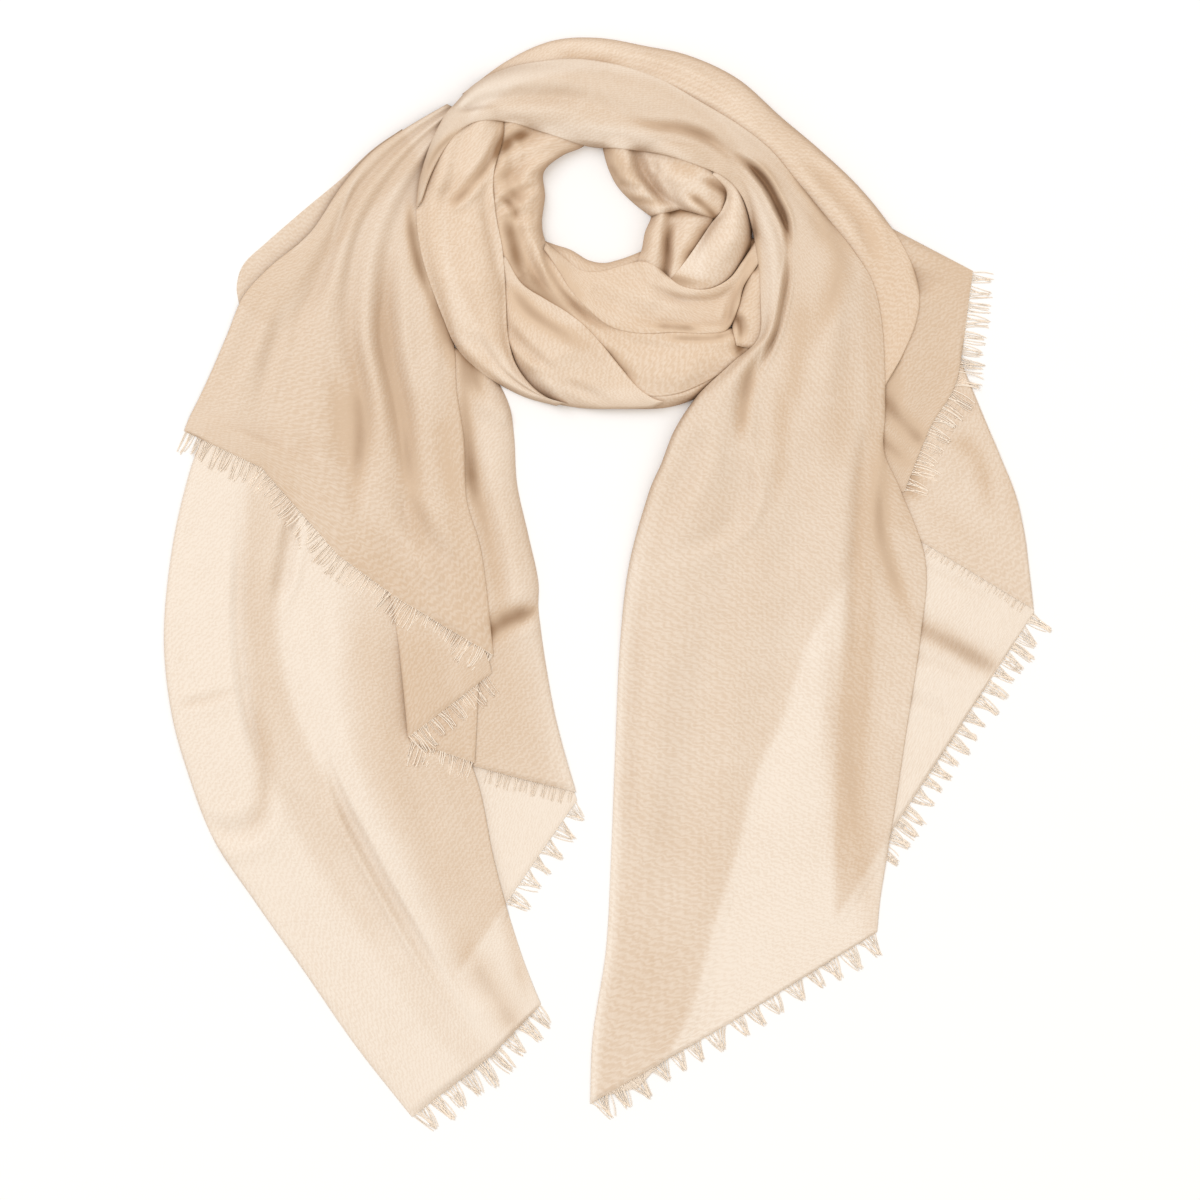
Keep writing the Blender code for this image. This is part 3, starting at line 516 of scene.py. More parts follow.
LEFT_FRONT_TAIL = Stretch(
    "left_front_tail",
    ("left_front_tail",),
    sections=(
        # left        fold        right
        ((208, 420), (265, 445), (330, 470)),
        ((188, 478), (282, 510), (385, 545)),
        ((172, 550), (298, 580), (425, 620)),
        ((164, 635), (306, 660), (446, 690)),
        ((171, 710), (318, 725), (463, 742)),
        ((188, 773), (337, 790), (480, 790)),
        ((214, 840), (362, 848), (493, 855)),
        ((256, 903), (392, 903), (506, 905)),
        ((304, 971), (425, 955), (520, 950)),
        ((356, 1046), (458, 1003), (531, 980)),
        ((412, 1117), (491, 1056), (541, 1004)),
    ),
    rails=(Along(3, 3.5, 2), Along(6, 5, 3.5), FLAT),
    crowns=(Along(1, 2.5, 1), Along(1, 2, 1)),
    shows=Along(0.3, 0.9, 1, 1, 1, 1, 1),
    folds=(Side.LEFT,),
    roll=9,
    tufts=(Tufts(Side.END, 0.0, 1.0, ("left_tail_fringe",), 19, 0.8, 1.2, 12),),
    creases=(
        Crease(
            ((244, 455), (240, 540), (239, 610), (243, 670), (252, 724), (266, 770), (274, 812)),
            6, 3, 0.4,
        ),
        Crease(((293, 500), (290, 540), (284, 575), (274, 616)), 9, 3.5, 0.4),
        Crease(
            ((314, 720), (340, 796), (366, 850), (402, 915), (444, 985), (490, 1054)),
            7, 3.5, 0.5,
        ),
        Crease(((272, 770), (302, 820), (345, 880), (395, 955), (445, 1030)), 18, 3, 0.3),
        Crease(((300, 560), (312, 640), (336, 720), (372, 800), (420, 890), (452, 950)), 22, -3, 0),
        Crease(((392, 590), (397, 660), (404, 730), (424, 810), (448, 880)), 16, 3, 0.3),
        Crease(((172, 707), (205, 700), (246, 688)), 6, 1, 0.5, 0.22),
        Crease(((252, 680), (263, 750), (262, 806), (238, 846)), 14, 1, 0.2, 0.45),
        Crease(((456, 930), (494, 994), (530, 1050)), 22, 0.5, 0, 0.5),
        Crease(((500, 880), (514, 944), (530, 1010)), 12, 0.5, 0, 0.4),
        Crease(((404, 640), (407, 700), (420, 742), (452, 752)), 9, 1, 0.2, 0.35),
        Crease(((196, 812), (228, 832), (256, 824), (276, 800)), 14, 2.5, 0.4),
        Crease(((400, 720), (430, 800), (470, 880), (500, 940)), 12, 1.2, 0.3),
        Crease(((436, 936), (468, 985), (512, 1008)), 12, 1.5, 0.3),
    ),
)

LEFT_CASCADE_BACK = Stretch(
    "left_cascade_back",
    ("left_cascade_back",),
    sections=(
        # left        right
        ((402, 640), (480, 650)),
        ((405, 690), (478, 700)),
        ((410, 741), (475, 763)),
    ),
    rails=(FLAT, FLAT),
    crowns=(Along(1, 1, 0.5),),
    plies=Along(0.4, 0.4),
    shows=Along(0.2, 1, 1),
    folds=(Side.LEFT,),
    tufts=(Tufts(Side.END, 0.0, 1.0, ("cascade_back_fringe",), 13, 0.5, 1.1, 7),),
)

LEFT_CASCADE_MIDDLE = Stretch(
    "left_cascade_middle",
    ("left_cascade_middle",),
    sections=(
        # left        right
        ((388, 585), (468, 616)),
        ((397, 632), (482, 643)),
        ((403, 685), (489, 660)),
        ((408, 738), (492, 673)),
    ),
    rails=(Along(4, 4, 2), FLAT),
    crowns=(Along(1, 1.5, 0.5),),
    plies=Along(0.4, 0.4),
    shows=Along(0.2, 1, 1),
    folds=(Side.LEFT,),
    tufts=(Tufts(Side.END, 0.0, 0.96, ("cascade_middle_fringe",), 13, 0.55, 1.1, 7),),
    creases=(Crease(((408, 620), (414, 680), (420, 715)), 10, -2),),
)

LEFT_SHOULDER_BACK = Stretch(
    "left_shoulder_back",
    ("left_shoulder_back",),
    sections=(
        # outer       inner
        ((402, 129), (420, 165)),
        ((372, 150), (385, 195)),
        ((340, 180), (352, 232)),
        ((304, 210), (322, 262)),
        ((266, 243), (300, 290)),
        ((244, 264), (286, 304)),
        ((237, 285), (276, 314)),
        ((239, 304), (270, 326)),
    ),
    rails=(FLAT, FLAT),
    crowns=(Along(0.5, 1.5, 0.5),),
    plies=Along(1.4, 1.4),
    folds=(Side.LEFT,),
)

LEFT_UPPER_PANEL = Stretch(
    "left_upper_panel",
    ("left_upper_panel",),
    sections=(
        # left        valley      valley      valley      right
        ((447, 104), (453, 107), (459, 110), (466, 113), (473, 116)),
        ((406, 128), (416, 133), (427, 138), (440, 143), (454, 150)),
        ((371, 153), (385, 160), (400, 168), (418, 177), (445, 185)),
        ((341, 187), (354, 196), (375, 205), (400, 215), (441, 225)),
        ((310, 233), (336, 238), (357, 245), (390, 255), (444, 268)),
        ((270, 267), (320, 282), (350, 288), (385, 300), (450, 312)),
        ((243, 297), (300, 320), (350, 330), (386, 342), (455, 352)),
        ((227, 335), (283, 360), (356, 372), (394, 378), (457, 392)),
        ((212, 370), (272, 396), (361, 412), (401, 418), (464, 440)),
        ((199, 398), (266, 425), (358, 450), (404, 462), (467, 500)),
        ((190, 416), (262, 447), (347, 500), (404, 520), (482, 555)),
        ((184, 431), (262, 468), (338, 555), (397, 598), (494, 656)),
    ),
    rails=(
        Along(8, 2.5, 2.5),
        Along(10, 3, 2.5),
        Along(12, 3, 2.5),
        Along(12, 2.5, 2.5),
        Along(10, 4, 2.5),
    ),
    crowns=(Along(1, 4, 1), Along(2, 5, 2), Along(2, 5, 3), Along(2, 6, 3)),
    plies=Along(1.1, 1.1, 1.8, 1.9),
    folds=(Side.RIGHT,),
    tufts=(Tufts(Side.END, 0.0, 1.0, ("left_upper_fringe",), 12, 0.45, 1.1, 6),),
    creases=(
        Crease(((428, 286), (448, 334), (470, 384)), 14, 0.5, 0, 0.7),
        Crease(((395, 480), (420, 530), (450, 570), (462, 600)), 14, 4, 0.4),
        Crease(((336, 226), (322, 266), (308, 298), (294, 330), (290, 380)), 9, 1, 0.3, 0.1),
        Crease(((348, 290), (352, 350), (362, 390), (362, 440), (354, 500)), 11, 2, 0.3, 0.2),
        Crease(
            ((386, 230), (385, 280), (385, 330), (390, 366), (400, 404), (406, 450), (410, 520)),
            13, 4, 0.3, 0.5,
        ),
        Crease(((408, 186), (411, 226), (416, 254), (425, 284), (444, 330)), 8, 1, 0, 1.0),
        Crease(((334, 360), (342, 430), (346, 490)), 16, 1, 0, 0.35),
        Crease(((352, 370), (360, 440), (350, 530)), 12, 0.5, 0, 0.5),
        Crease(((404, 420), (412, 480), (424, 560)), 14, 1, 0, 0.4),
        Crease(((440, 400), (446, 460), (460, 520)), 14, 1, 0, 0.25),
        Crease(((372, 156), (354, 184), (344, 208), (336, 232), (328, 254)), 3, -0.8, 0, -0.3),
        Crease(((345, 184), (328, 208), (312, 230), (296, 248), (284, 257)), 3, -0.8, 0, -0.25),
        Crease(((290, 300), (272, 350), (256, 410)), 10, 2, 0.4),
        Crease(((420, 180), (415, 260), (420, 340), (428, 420)), 10, 1.5, 0.4),
        Crease(((260, 300), (246, 340), (228, 390)), 10, 2),
        Crease(((300, 420), (310, 470), (318, 520)), 12, 2),
    ),
)

RIGHT_BACK_PANEL = Stretch(
    "right_back_panel",
    ("right_back_panel",),
    sections=(
        # left        right
        ((862, 345), (950, 335)),
        ((862, 430), (986, 422)),
        ((856, 520), (1012, 488)),
        ((842, 620), (1024, 530)),
        ((836, 730), (1029, 568)),
        ((834, 830), (1032, 593)),
        ((834, 920), (1034, 612)),
    ),
    rails=(FLAT, FLAT),
    crowns=(Along(0, 3, 1.5),),
    fade=12,
    shows=Along(0, 0.5, 1, 1, 1),
    folds=(Side.RIGHT,),
    tufts=(Tufts(Side.END, 0.21, 1.0, ("right_back_fringe",), 16, 0.85, 1.15, 12),),
    creases=(
        Crease(((860, 600), (944, 640), (1040, 696)), 17, 1.6, 0.3, 0.65),
        Crease(((880, 646), (934, 664), (990, 692)), 8, 1.2, 0.4, 0.15),
        Crease(((888, 688), (926, 706), (960, 722)), 8, 1.2, 0.6, 0.12),
        Crease(((912, 562), (960, 584), (1008, 612)), 5, 0.8, 0.5, 0.12),
    ),
)

RIGHT_BACK_FOLD = Stretch(
    "right_back_fold",
    ("right_back_fold",),
    sections=(
        # left        right
        ((868, 345), (952, 340)),
        ((868, 395), (978, 405)),
        ((869, 435), (1000, 456)),
        ((870, 475), (1020, 512)),
        ((872, 512), (1033, 609)),
    ),
    rails=(FLAT, FLAT),
    crowns=(Along(1, 2.5, 0.4),),
    shows=Along(0, 0.6, 1, 1, 1),
    plies=Along(1.2, 1.2, 0.6, 0.1, 0.2),
    folds=(Side.RIGHT,),
    tufts=(Tufts(Side.END, 0.34, 0.96, ("right_fold_fringe",), 8, 0.3, 0.5, 3),),
    creases=(
        Crease(((940, 434), (966, 446), (982, 470), (990, 530)), 14, 1.5, 0.3, 0.4),
        Crease(((888, 410), (898, 460), (920, 510)), 24, 1, 0.2, 0.95),
        Crease(((968, 380), (998, 440), (1016, 500), (1026, 570)), 10, 1.2, 0.3, 0.3),
        Crease(((900, 480), (950, 520), (1010, 580)), 18, 1, 0.3, 0.12),
    ),
)

RIGHT_UPPER_PANEL = Stretch(
    "right_upper_panel",
    ("right_upper_panel",),
    sections=(
        # left        right
        ((868, 216), (973, 271)),
        ((862, 280), (969, 300)),
        ((864, 335), (963, 345)),
        ((866, 385), (954, 388)),
        ((868, 435), (930, 428)),
        ((872, 490), (904, 492)),
    ),
    rails=(Along(6, 6, 3), FLAT),
    crowns=(Along(1, 4, 1),),
    plies=Along(4, 2.6, 1.2),
    tufts=(Tufts(Side.RIGHT, 0.0, 1.0, ("right_upper_fringe",), 15, 0.6, 1.2, 8),),
    creases=(
        Crease(((858, 374), (886, 404), (914, 434), (930, 450)), 12, 1.5, 0.4, 0.8),
        Crease(((862, 424), (888, 446), (916, 470)), 10, 1.5, 0.4, 0.7),
        Crease(((890, 320), (892, 370), (896, 430)), 11, 1.5, 0.2, 0.35),
        Crease(((905, 262), (922, 282), (950, 290)), 12, 3),
        Crease(((884, 400), (900, 425), (935, 438)), 10, 2),
    ),
)

HOLE_RIM_FOLD = LoopFold(
    "hole_rim_fold",
    ("hole_rim_fold",),
    sections=(
        # outer       rim
        ((540, 262), (542, 240)),
        ((556, 276), (556, 245)),
        ((573, 290), (571, 250)),
        ((590, 296), (588, 260)),
        ((606, 296), (604, 263)),
        ((622, 292), (618, 260)),
        ((638, 288), (630, 256)),
        ((654, 284), (642, 251)),
    ),
    rails=(Along(3, 3, 3), Along(3, 3, 3)),
    crowns=(Along(5, 6, 5),),
    plies=Along(2.4, 3, 2.4),
    roll=6,
    folds=(Side.RIGHT,),
)

KNOT_INNER_FOLD = LoopFold(
    "knot_inner_fold",
    ("knot_inner_fold",),
    sections=(
        # rim         groove      outer
        ((648, 205), (670, 204), (718, 204)),
        ((651, 217), (671, 217), (716, 219)),
        ((645, 232), (668, 234), (708, 236)),
        ((642, 248), (667, 249), (700, 252)),
        ((638, 262), (666, 264), (692, 268)),
        ((640, 276), (664, 278), (684, 282)),
        ((646, 288), (662, 290), (678, 294)),
    ),
    rails=(Along(3, 3, 4), Along(8, 8, 7), Along(6, 6, 6)),
    crowns=(Along(7, 8, 6), Along(5, 7, 4)),
    plies=Along(1.8, 1.8),
    roll=8,
    folds=(Side.LEFT,),
    creases=(
        Crease(((714, 218), (698, 244), (674, 272)), 8, 1.5, 0.4, 0.7),
        Crease(((652, 204), (672, 211), (694, 210), (716, 214)), 7, 2.8, 0.2, 0.9),
        Crease(((674, 218), (668, 240), (667, 262), (662, 292)), 4.5, 3, 0.5, 0.5),
    ),
)

KNOT_UPPER_FOLD = LoopFold(
    "knot_upper_fold",
    ("knot_upper_fold",),
    sections=(
        # rim         groove      outer
        ((600, 136), (636, 140), (722, 152)),
        ((603, 150), (638, 154), (730, 168)),
        ((608, 168), (641, 170), (734, 184)),
        ((617, 186), (650, 184), (732, 200)),
        ((632, 202), (662, 196), (726, 212)),
        ((651, 217), (680, 210), (716, 220)),
    ),
    rails=(Along(3, 3, 5), Along(7, 8, 10), Along(6, 6, 10)),
    crowns=(Along(9, 10, 5), Along(13, 14, 8)),
    plies=Along(1.3, 0.8),
    roll=9,
    folds=(Side.LEFT, Side.END),
    creases=(
        Crease(((598, 132), (618, 162), (650, 200)), 12, 0.5, 0, 0.5),
        Crease(((634, 144), (640, 162), (650, 182), (662, 200), (676, 212)), 6, 2.1, 0.6, 0.25),
        Crease(((618, 146), (621, 162), (618, 180)), 5, 2.1, 0.6),
        Crease(((614, 182), (632, 190), (652, 192)), 5, 2.1, 0.5),
        Crease(((618, 192), (642, 202), (668, 206)), 6, 2, 0.5, 0.6),
        Crease(((698, 180), (714, 186), (726, 196), (724, 212)), 5, 2.8, 0.7, 0.7),
        Crease(((682, 192), (704, 207), (722, 226)), 6, 1.5, 0.5, 1.1),
        Crease(((664, 164), (684, 170), (706, 172)), 12, 0.8, 0.3, 0.3),
        Crease(((606, 158), (616, 176), (630, 192)), 5, 1.4, 0.4, 0.5),
        Crease(((664, 152), (676, 166), (700, 176)), 9, 1.2, 0.5, 0.1),
        Crease(((650, 160), (656, 172), (652, 182)), 4, 1.5, 0.5),
    ),
    roundness=0.55,
)

INNER_TURN = LoopFold(
    "inner_left_and_middle_swag",
    ("ring_inner_left", "front_middle_swag"),
    sections=(
        # outer       middle      rim
        ((496, 118), (535, 122), (592, 130)),
        ((494, 136), (530, 140), (584, 146)),
        ((488, 158), (520, 158), (562, 156)),
        ((484, 178), (514, 177), (544, 172)),
        ((484, 200), (514, 198), (545, 196)),
        ((488, 224), (518, 222), (542, 222)),
        ((494, 246), (520, 244), (545, 240)),
        ((503, 268), (528, 262), (553, 256)),
        ((516, 290), (541, 281), (566, 274)),
        ((536, 306), (558, 297), (580, 290)),
        ((558, 322), (578, 311), (598, 303)),
        ((582, 340), (602, 326), (624, 314)),
        ((602, 358), (626, 341), (650, 324)),
        ((620, 380), (648, 352), (676, 326)),
        ((642, 395), (672, 360), (700, 324)),
        ((672, 395), (694, 358), (718, 326)),
        ((702, 384), (718, 354), (736, 328)),
        ((744, 361), (747, 345), (750, 330)),
        ((766, 346), (765, 335), (764, 324)),
    ),
    rails=(
        Along(5, 5, 5, 5, 5, 5, 5),
        Along(9, 11, 11, 9, 12, 16, 9),
        Along(3, 3, 3, 4, 5, 6, 6),
    ),
    crowns=(Along(5, 5, 3, 2, 2, 1, 1), Along(5, 4, 3, 2, 2, 1, 1)),
    plies=Along(2.6, 2.4, 2.3, 2.1, 1.8, 1.5),
    roll=6,
    folds=(Side.LEFT, Side.RIGHT),
    creases=(
        Crease(((575, 140), (548, 152), (522, 166), (500, 184), (490, 196)), 7, 1.8, 0.6),
        Crease(((544, 184), (524, 193), (504, 206), (494, 216)), 6, 2.1, 0.7),
        Crease(((502, 206), (511, 236), (517, 260), (526, 296)), 12, 2.5, 0.3, 1.1),
        Crease(((544, 132), (520, 137), (508, 144), (496, 168)), 10, 3, 0.2, 1.4),
        Crease(((540, 214), (528, 217), (512, 214)), 7, 1.5, 0.5, 0.1),
        Crease(((508, 140), (512, 156), (504, 172)), 6, 1.8, 0.5),
        Crease(
            ((541, 240), (549, 266), (560, 288), (578, 308), (598, 324), (622, 333)),
            5, 2.1, 0.5, 0.6,
        ),
        Crease(((650, 336), (684, 339), (716, 338), (744, 328)), 5, 1.5, 0.4, 0.8),
        Crease(((516, 262), (546, 300), (594, 340)), 18, 1, 0, 0.9),
        Crease(((496, 198), (508, 203), (516, 214), (515, 226)), 4, 1.4, 0.6, 0.5),
        Crease(((752, 226), (755, 258), (748, 292)), 8, 1, 0, 1.2),
        Crease(((738, 318), (741, 340), (735, 362)), 9, 2, 0.2, 1.3),
        Crease(((494, 160), (510, 186), (524, 214)), 14, 0.5, 0, 0.5),
        Crease(((572, 328), (604, 356), (642, 394)), 6, 1, 0.2, 0.7),
        Crease(((528, 234), (530, 256), (538, 278), (554, 298)), 6, 1.8, 0.6),
        Crease(((600, 346), (618, 362), (640, 388)), 7, 1.4, 0.4, 0.4),
        Crease(((622, 340), (660, 348), (704, 346), (740, 338)), 9, 1.4, 0.5),
    ),
    roundness=0.55,
)

FRONT_BOTTOM_SWAG = LoopFold(
    "front_bottom_swag",
    ("front_lower_swag",),
    sections=(
        # outer       inner
        ((560, 402), (590, 366)),
        ((600, 408), (620, 376)),
        ((634, 409), (646, 382)),
        ((664, 408), (672, 380)),
        ((690, 401), (694, 374)),
        ((714, 388), (718, 362)),
        ((742, 366), (740, 346)),
    ),
    rails=(Along(2, 2, 4), Along(4, 4, 5)),
    crowns=(Along(6, 7, 5),),
    plies=Along(1.7, 1.6),
    roll=6,
    folds=(Side.LEFT,),
    creases=(
        Crease(((640, 392), (668, 391), (694, 383), (716, 367), (738, 350)), 5, 2, 0.6, 0.8),
        Crease(((690, 396), (716, 382), (740, 362)), 7, 1.5, 0.3, 0.3),
    ),
)

FRONT_UPPER_SWAG = LoopFold(
    "front_upper_swag",
    ("front_upper_swag",),
    sections=(
        # lower       upper
        ((544, 250), (546, 243)),
        ((558, 270), (562, 256)),
        ((572, 292), (580, 270)),
        ((590, 312), (600, 272)),
        ((612, 328), (622, 266)),
        ((641, 334), (642, 262)),
        ((674, 333), (660, 270)),
        ((704, 334), (680, 286)),
        ((727, 330), (706, 290)),
        ((738, 308), (728, 280)),
        ((744, 286), (742, 262)),
        ((760, 262), (756, 240)),
    ),
    rails=(Along(5, 5, 4, 4, 4), Along(4, 4, 3, 2, 2)),
    crowns=(Along(3, 8, 9, 6, 4),),
    plies=Along(2.6, 2.4, 1.8, 1.6, 1.6),
    roll=9,
    folds=(Side.LEFT, Side.RIGHT),
    creases=(
        Crease(((756, 244), (748, 286), (730, 326)), 8, 0.5, 0, 0.4),
        Crease(((590, 284), (604, 300), (626, 316)), 12, 1.8, 0.4),
        Crease(((646, 326), (676, 328), (708, 330)), 6, 1.8, 0.3, 0.8),
        Crease(((752, 240), (742, 282), (733, 304), (728, 322), (714, 336)), 6, 2.1, 0.4, 0.6),
        Crease(((556, 256), (566, 284), (588, 306)), 10, 1, 0, 0.5),
        Crease(((640, 268), (656, 284), (676, 298), (706, 302)), 8, 2.1, 0.3),
        Crease(((620, 280), (640, 296), (664, 308)), 12, -2, 0),
    ),
)

FRONT_LEFT_SWAG = LoopFold(
    "front_left_swag",
    (),
    sections=(
        # outer       inner
        ((496, 258), (506, 258)),
        ((498, 280), (522, 284)),
        ((500, 306), (546, 300)),
        ((502, 332), (566, 312)),
        ((510, 356), (584, 326)),
        ((520, 378), (602, 345)),
        ((542, 399), (620, 367)),
        ((580, 408), (637, 387)),
        ((622, 409), (652, 398)),
        ((652, 408), (664, 402)),
    ),
    rails=(Along(4, 2, 2), Along(5, 6, 4)),
    crowns=(Along(3, 15, 3),),
    plies=Along(1.4, 1),
    roll=7,
    folds=(Side.LEFT, Side.RIGHT),
    creases=(
        Crease(((506, 318), (516, 338), (534, 356), (560, 376)), 6, 2.4, 0.6),
        Crease(((514, 356), (526, 376), (544, 394), (562, 404)), 7, 2.8, 0.4),
        Crease(((560, 380), (590, 394), (614, 406)), 6, 1.5, 0.5),
        Crease(((504, 280), (536, 316), (598, 354)), 11, 1.8, 0.3, 0.8),
        Crease(((528, 312), (556, 340), (590, 372)), 12, -1.5, 0),
    ),
)

KNOT_SIDE_FOLD = LoopFold(
    "knot_side_fold",
    ("knot_side_fold",),
    sections=(
        # left        right
        ((748, 238), (770, 238)),
        ((746, 262), (770, 262)),
        ((740, 286), (770, 286)),
        ((733, 305), (768, 310)),
        ((732, 327), (766, 332)),
        ((736, 346), (762, 352)),
    ),
    rails=(Along(5, 5, 5), Along(8, 9, 8)),
    crowns=(Along(5, 9, 7),),
    plies=Along(2, 2),
    roll=7,
    folds=(Side.LEFT,),
    creases=(
        Crease(((754, 222), (755, 244), (754, 262), (756, 280)), 5, 4, 0.3, 0.9),
        Crease(((735, 312), (740, 328), (740, 346)), 6, 6, 0.2, 0.9),
    ),
)

KNOT_OUTER_SWAG = LoopFold(
    "knot_outer_swag",
    ("knot_outer_swag",),
    sections=(
        # outer       inner
        ((722, 158), (712, 176)),
        ((738, 178), (726, 192)),
        ((748, 200), (722, 210)),
        ((752, 224), (711, 224)),
        ((750, 248), (699, 242)),
        ((740, 272), (685, 262)),
        ((722, 290), (674, 276)),
        ((698, 297), (667, 283)),
        ((676, 292), (662, 286)),
    ),
    rails=(Along(8, 6, 6), Along(8, 7, 6)),
    crowns=(Along(4, 16, 4),),
    plies=Along(0.5, 0.2, 0.4, 0.8),
    roll=9,
    folds=(Side.LEFT, Side.RIGHT),
    roundness=0.55,
    creases=(
        Crease(((734, 206), (732, 240), (712, 272)), 12, -1.5, 0),
        Crease(((752, 200), (754, 238), (746, 276)), 5, 1, 0, 0.9),
        Crease(((642, 258), (672, 279), (718, 288)), 10, 1, 0, 0.9),
        Crease(((752, 226), (746, 266), (722, 300)), 7, 1, 0, 0.7),
    ),
)

RING_LEFT_LOBE = LoopFold(
    "ring_left_lobe",
    ("ring_left_lobe",),
    sections=(
        # outer       fold        inner
        ((448, 122), (470, 114), (502, 108)),
        ((428, 160), (460, 152), (504, 136)),
        ((418, 192), (452, 190), (494, 176)),
        ((417, 222), (450, 224), (496, 214)),
        ((421, 252), (456, 258), (503, 252)),
        ((430, 283), (464, 292), (506, 296)),
        ((443, 318), (476, 326), (508, 334)),
        ((458, 350), (486, 352), (515, 362)),
        ((486, 376), (506, 374), (530, 384)),
        ((522, 396), (532, 392), (548, 398)),
        ((556, 406), (562, 404), (568, 404)),
    ),
    rails=(Along(3, 2, 2), Along(16, 17, 6), Along(7, 6, 3)),
    crowns=(Along(3, 2, 1), Along(4, 3, 2)),
    plies=Along(1.3, 1, 0.9),
    roll=8,
    folds=(Side.LEFT, Side.RIGHT),
    roundness=0.55,
    creases=(
        Crease(
            ((506, 116), (501, 140), (491, 162), (472, 186), (456, 202), (446, 208)),
            6, 2.8, 0.5, 0.7,
        ),
        Crease(((508, 108), (504, 140), (492, 172)), 8, 1, 0, 1.1),
        Crease(((478, 176), (460, 188), (446, 200), (438, 216)), 10, 1.5, 0.4, 0.1),
        Crease(((486, 186), (490, 216), (496, 250), (500, 290)), 8, 1.5, 0.4),
        Crease(((468, 214), (470, 260), (484, 316)), 14, -1, 0),
        Crease(((452, 158), (442, 180), (436, 202)), 9, -2, 0),
        Crease(((462, 330), (484, 350), (512, 372)), 9, 1.5, 0.4),
    ),
)

ARCH_OUTER_BAND = LoopFold(
    "arch_outer_band",
    ("arch_outer_band",),
    sections=(
        # outer       inner
        ((462, 94), (478, 100)),
        ((507, 61), (512, 94)),
        ((552, 41), (546, 84)),
        ((598, 38), (590, 84)),
        ((645, 46), (632, 94)),
        ((690, 56), (668, 108)),
        ((738, 79), (710, 130)),
        ((781, 117), (745, 156)),
        ((820, 150), (778, 186)),
        ((858, 186), (810, 225)),
        ((888, 223), (838, 262)),
        ((910, 261), (856, 306)),
        ((919, 294), (863, 345)),
        ((915, 325), (866, 385)),
        ((900, 360), (868, 415)),
    ),
    rails=(Along(2, 3, 2), Along(6, 6, 2)),
    crowns=(Along(3, 13, 0.5),),
    plies=Along(1.5, 1.5, 1.8, 2.4, 2.6),
    roll=5,
    folds=(Side.LEFT,),
    roundness=0.55,
    creases=(
        Crease(((600, 56), (640, 66), (680, 78), (712, 94), (752, 118)), 6, 2, 0.8),
        Crease(((545, 60), (575, 57), (602, 62), (640, 66)), 9, 2, 0.3, 0.3),
        Crease(((790, 150), (830, 186), (866, 230), (884, 280)), 10, 3, 0.5, 0.25),
        Crease(((700, 96), (760, 134), (812, 178)), 10, -1.5, 0),
    ),
)

RIGHT_TAIL_TURNBACK = Stretch(
    "right_tail_turnback",
    ("right_tail_turnback",),
    sections=(
        # left        right
        ((700, 404), (868, 404)),
        ((672, 455), (866, 455)),
        ((656, 510), (868, 500)),
        ((642, 560), (858, 556)),
        ((634, 600), (834, 600)),
        ((628, 640), (808, 645)),
        ((622, 700), (786, 712)),
        ((619, 780), (756, 780)),
        ((617, 860), (736, 858)),
        ((613, 940), (714, 930)),
        ((602, 1010), (696, 998)),
        ((597, 1060), (672, 1048)),
        ((596, 1098), (638, 1088)),
    ),
    rails=(FLAT, FLAT),
    crowns=(Along(0, 0.6, 0.3),),
    fade=10,
    shows=Along(0, 0.3, 0.6, 0.9, 1.1, 1.2, 1.3, 1.4, 1.4),
)

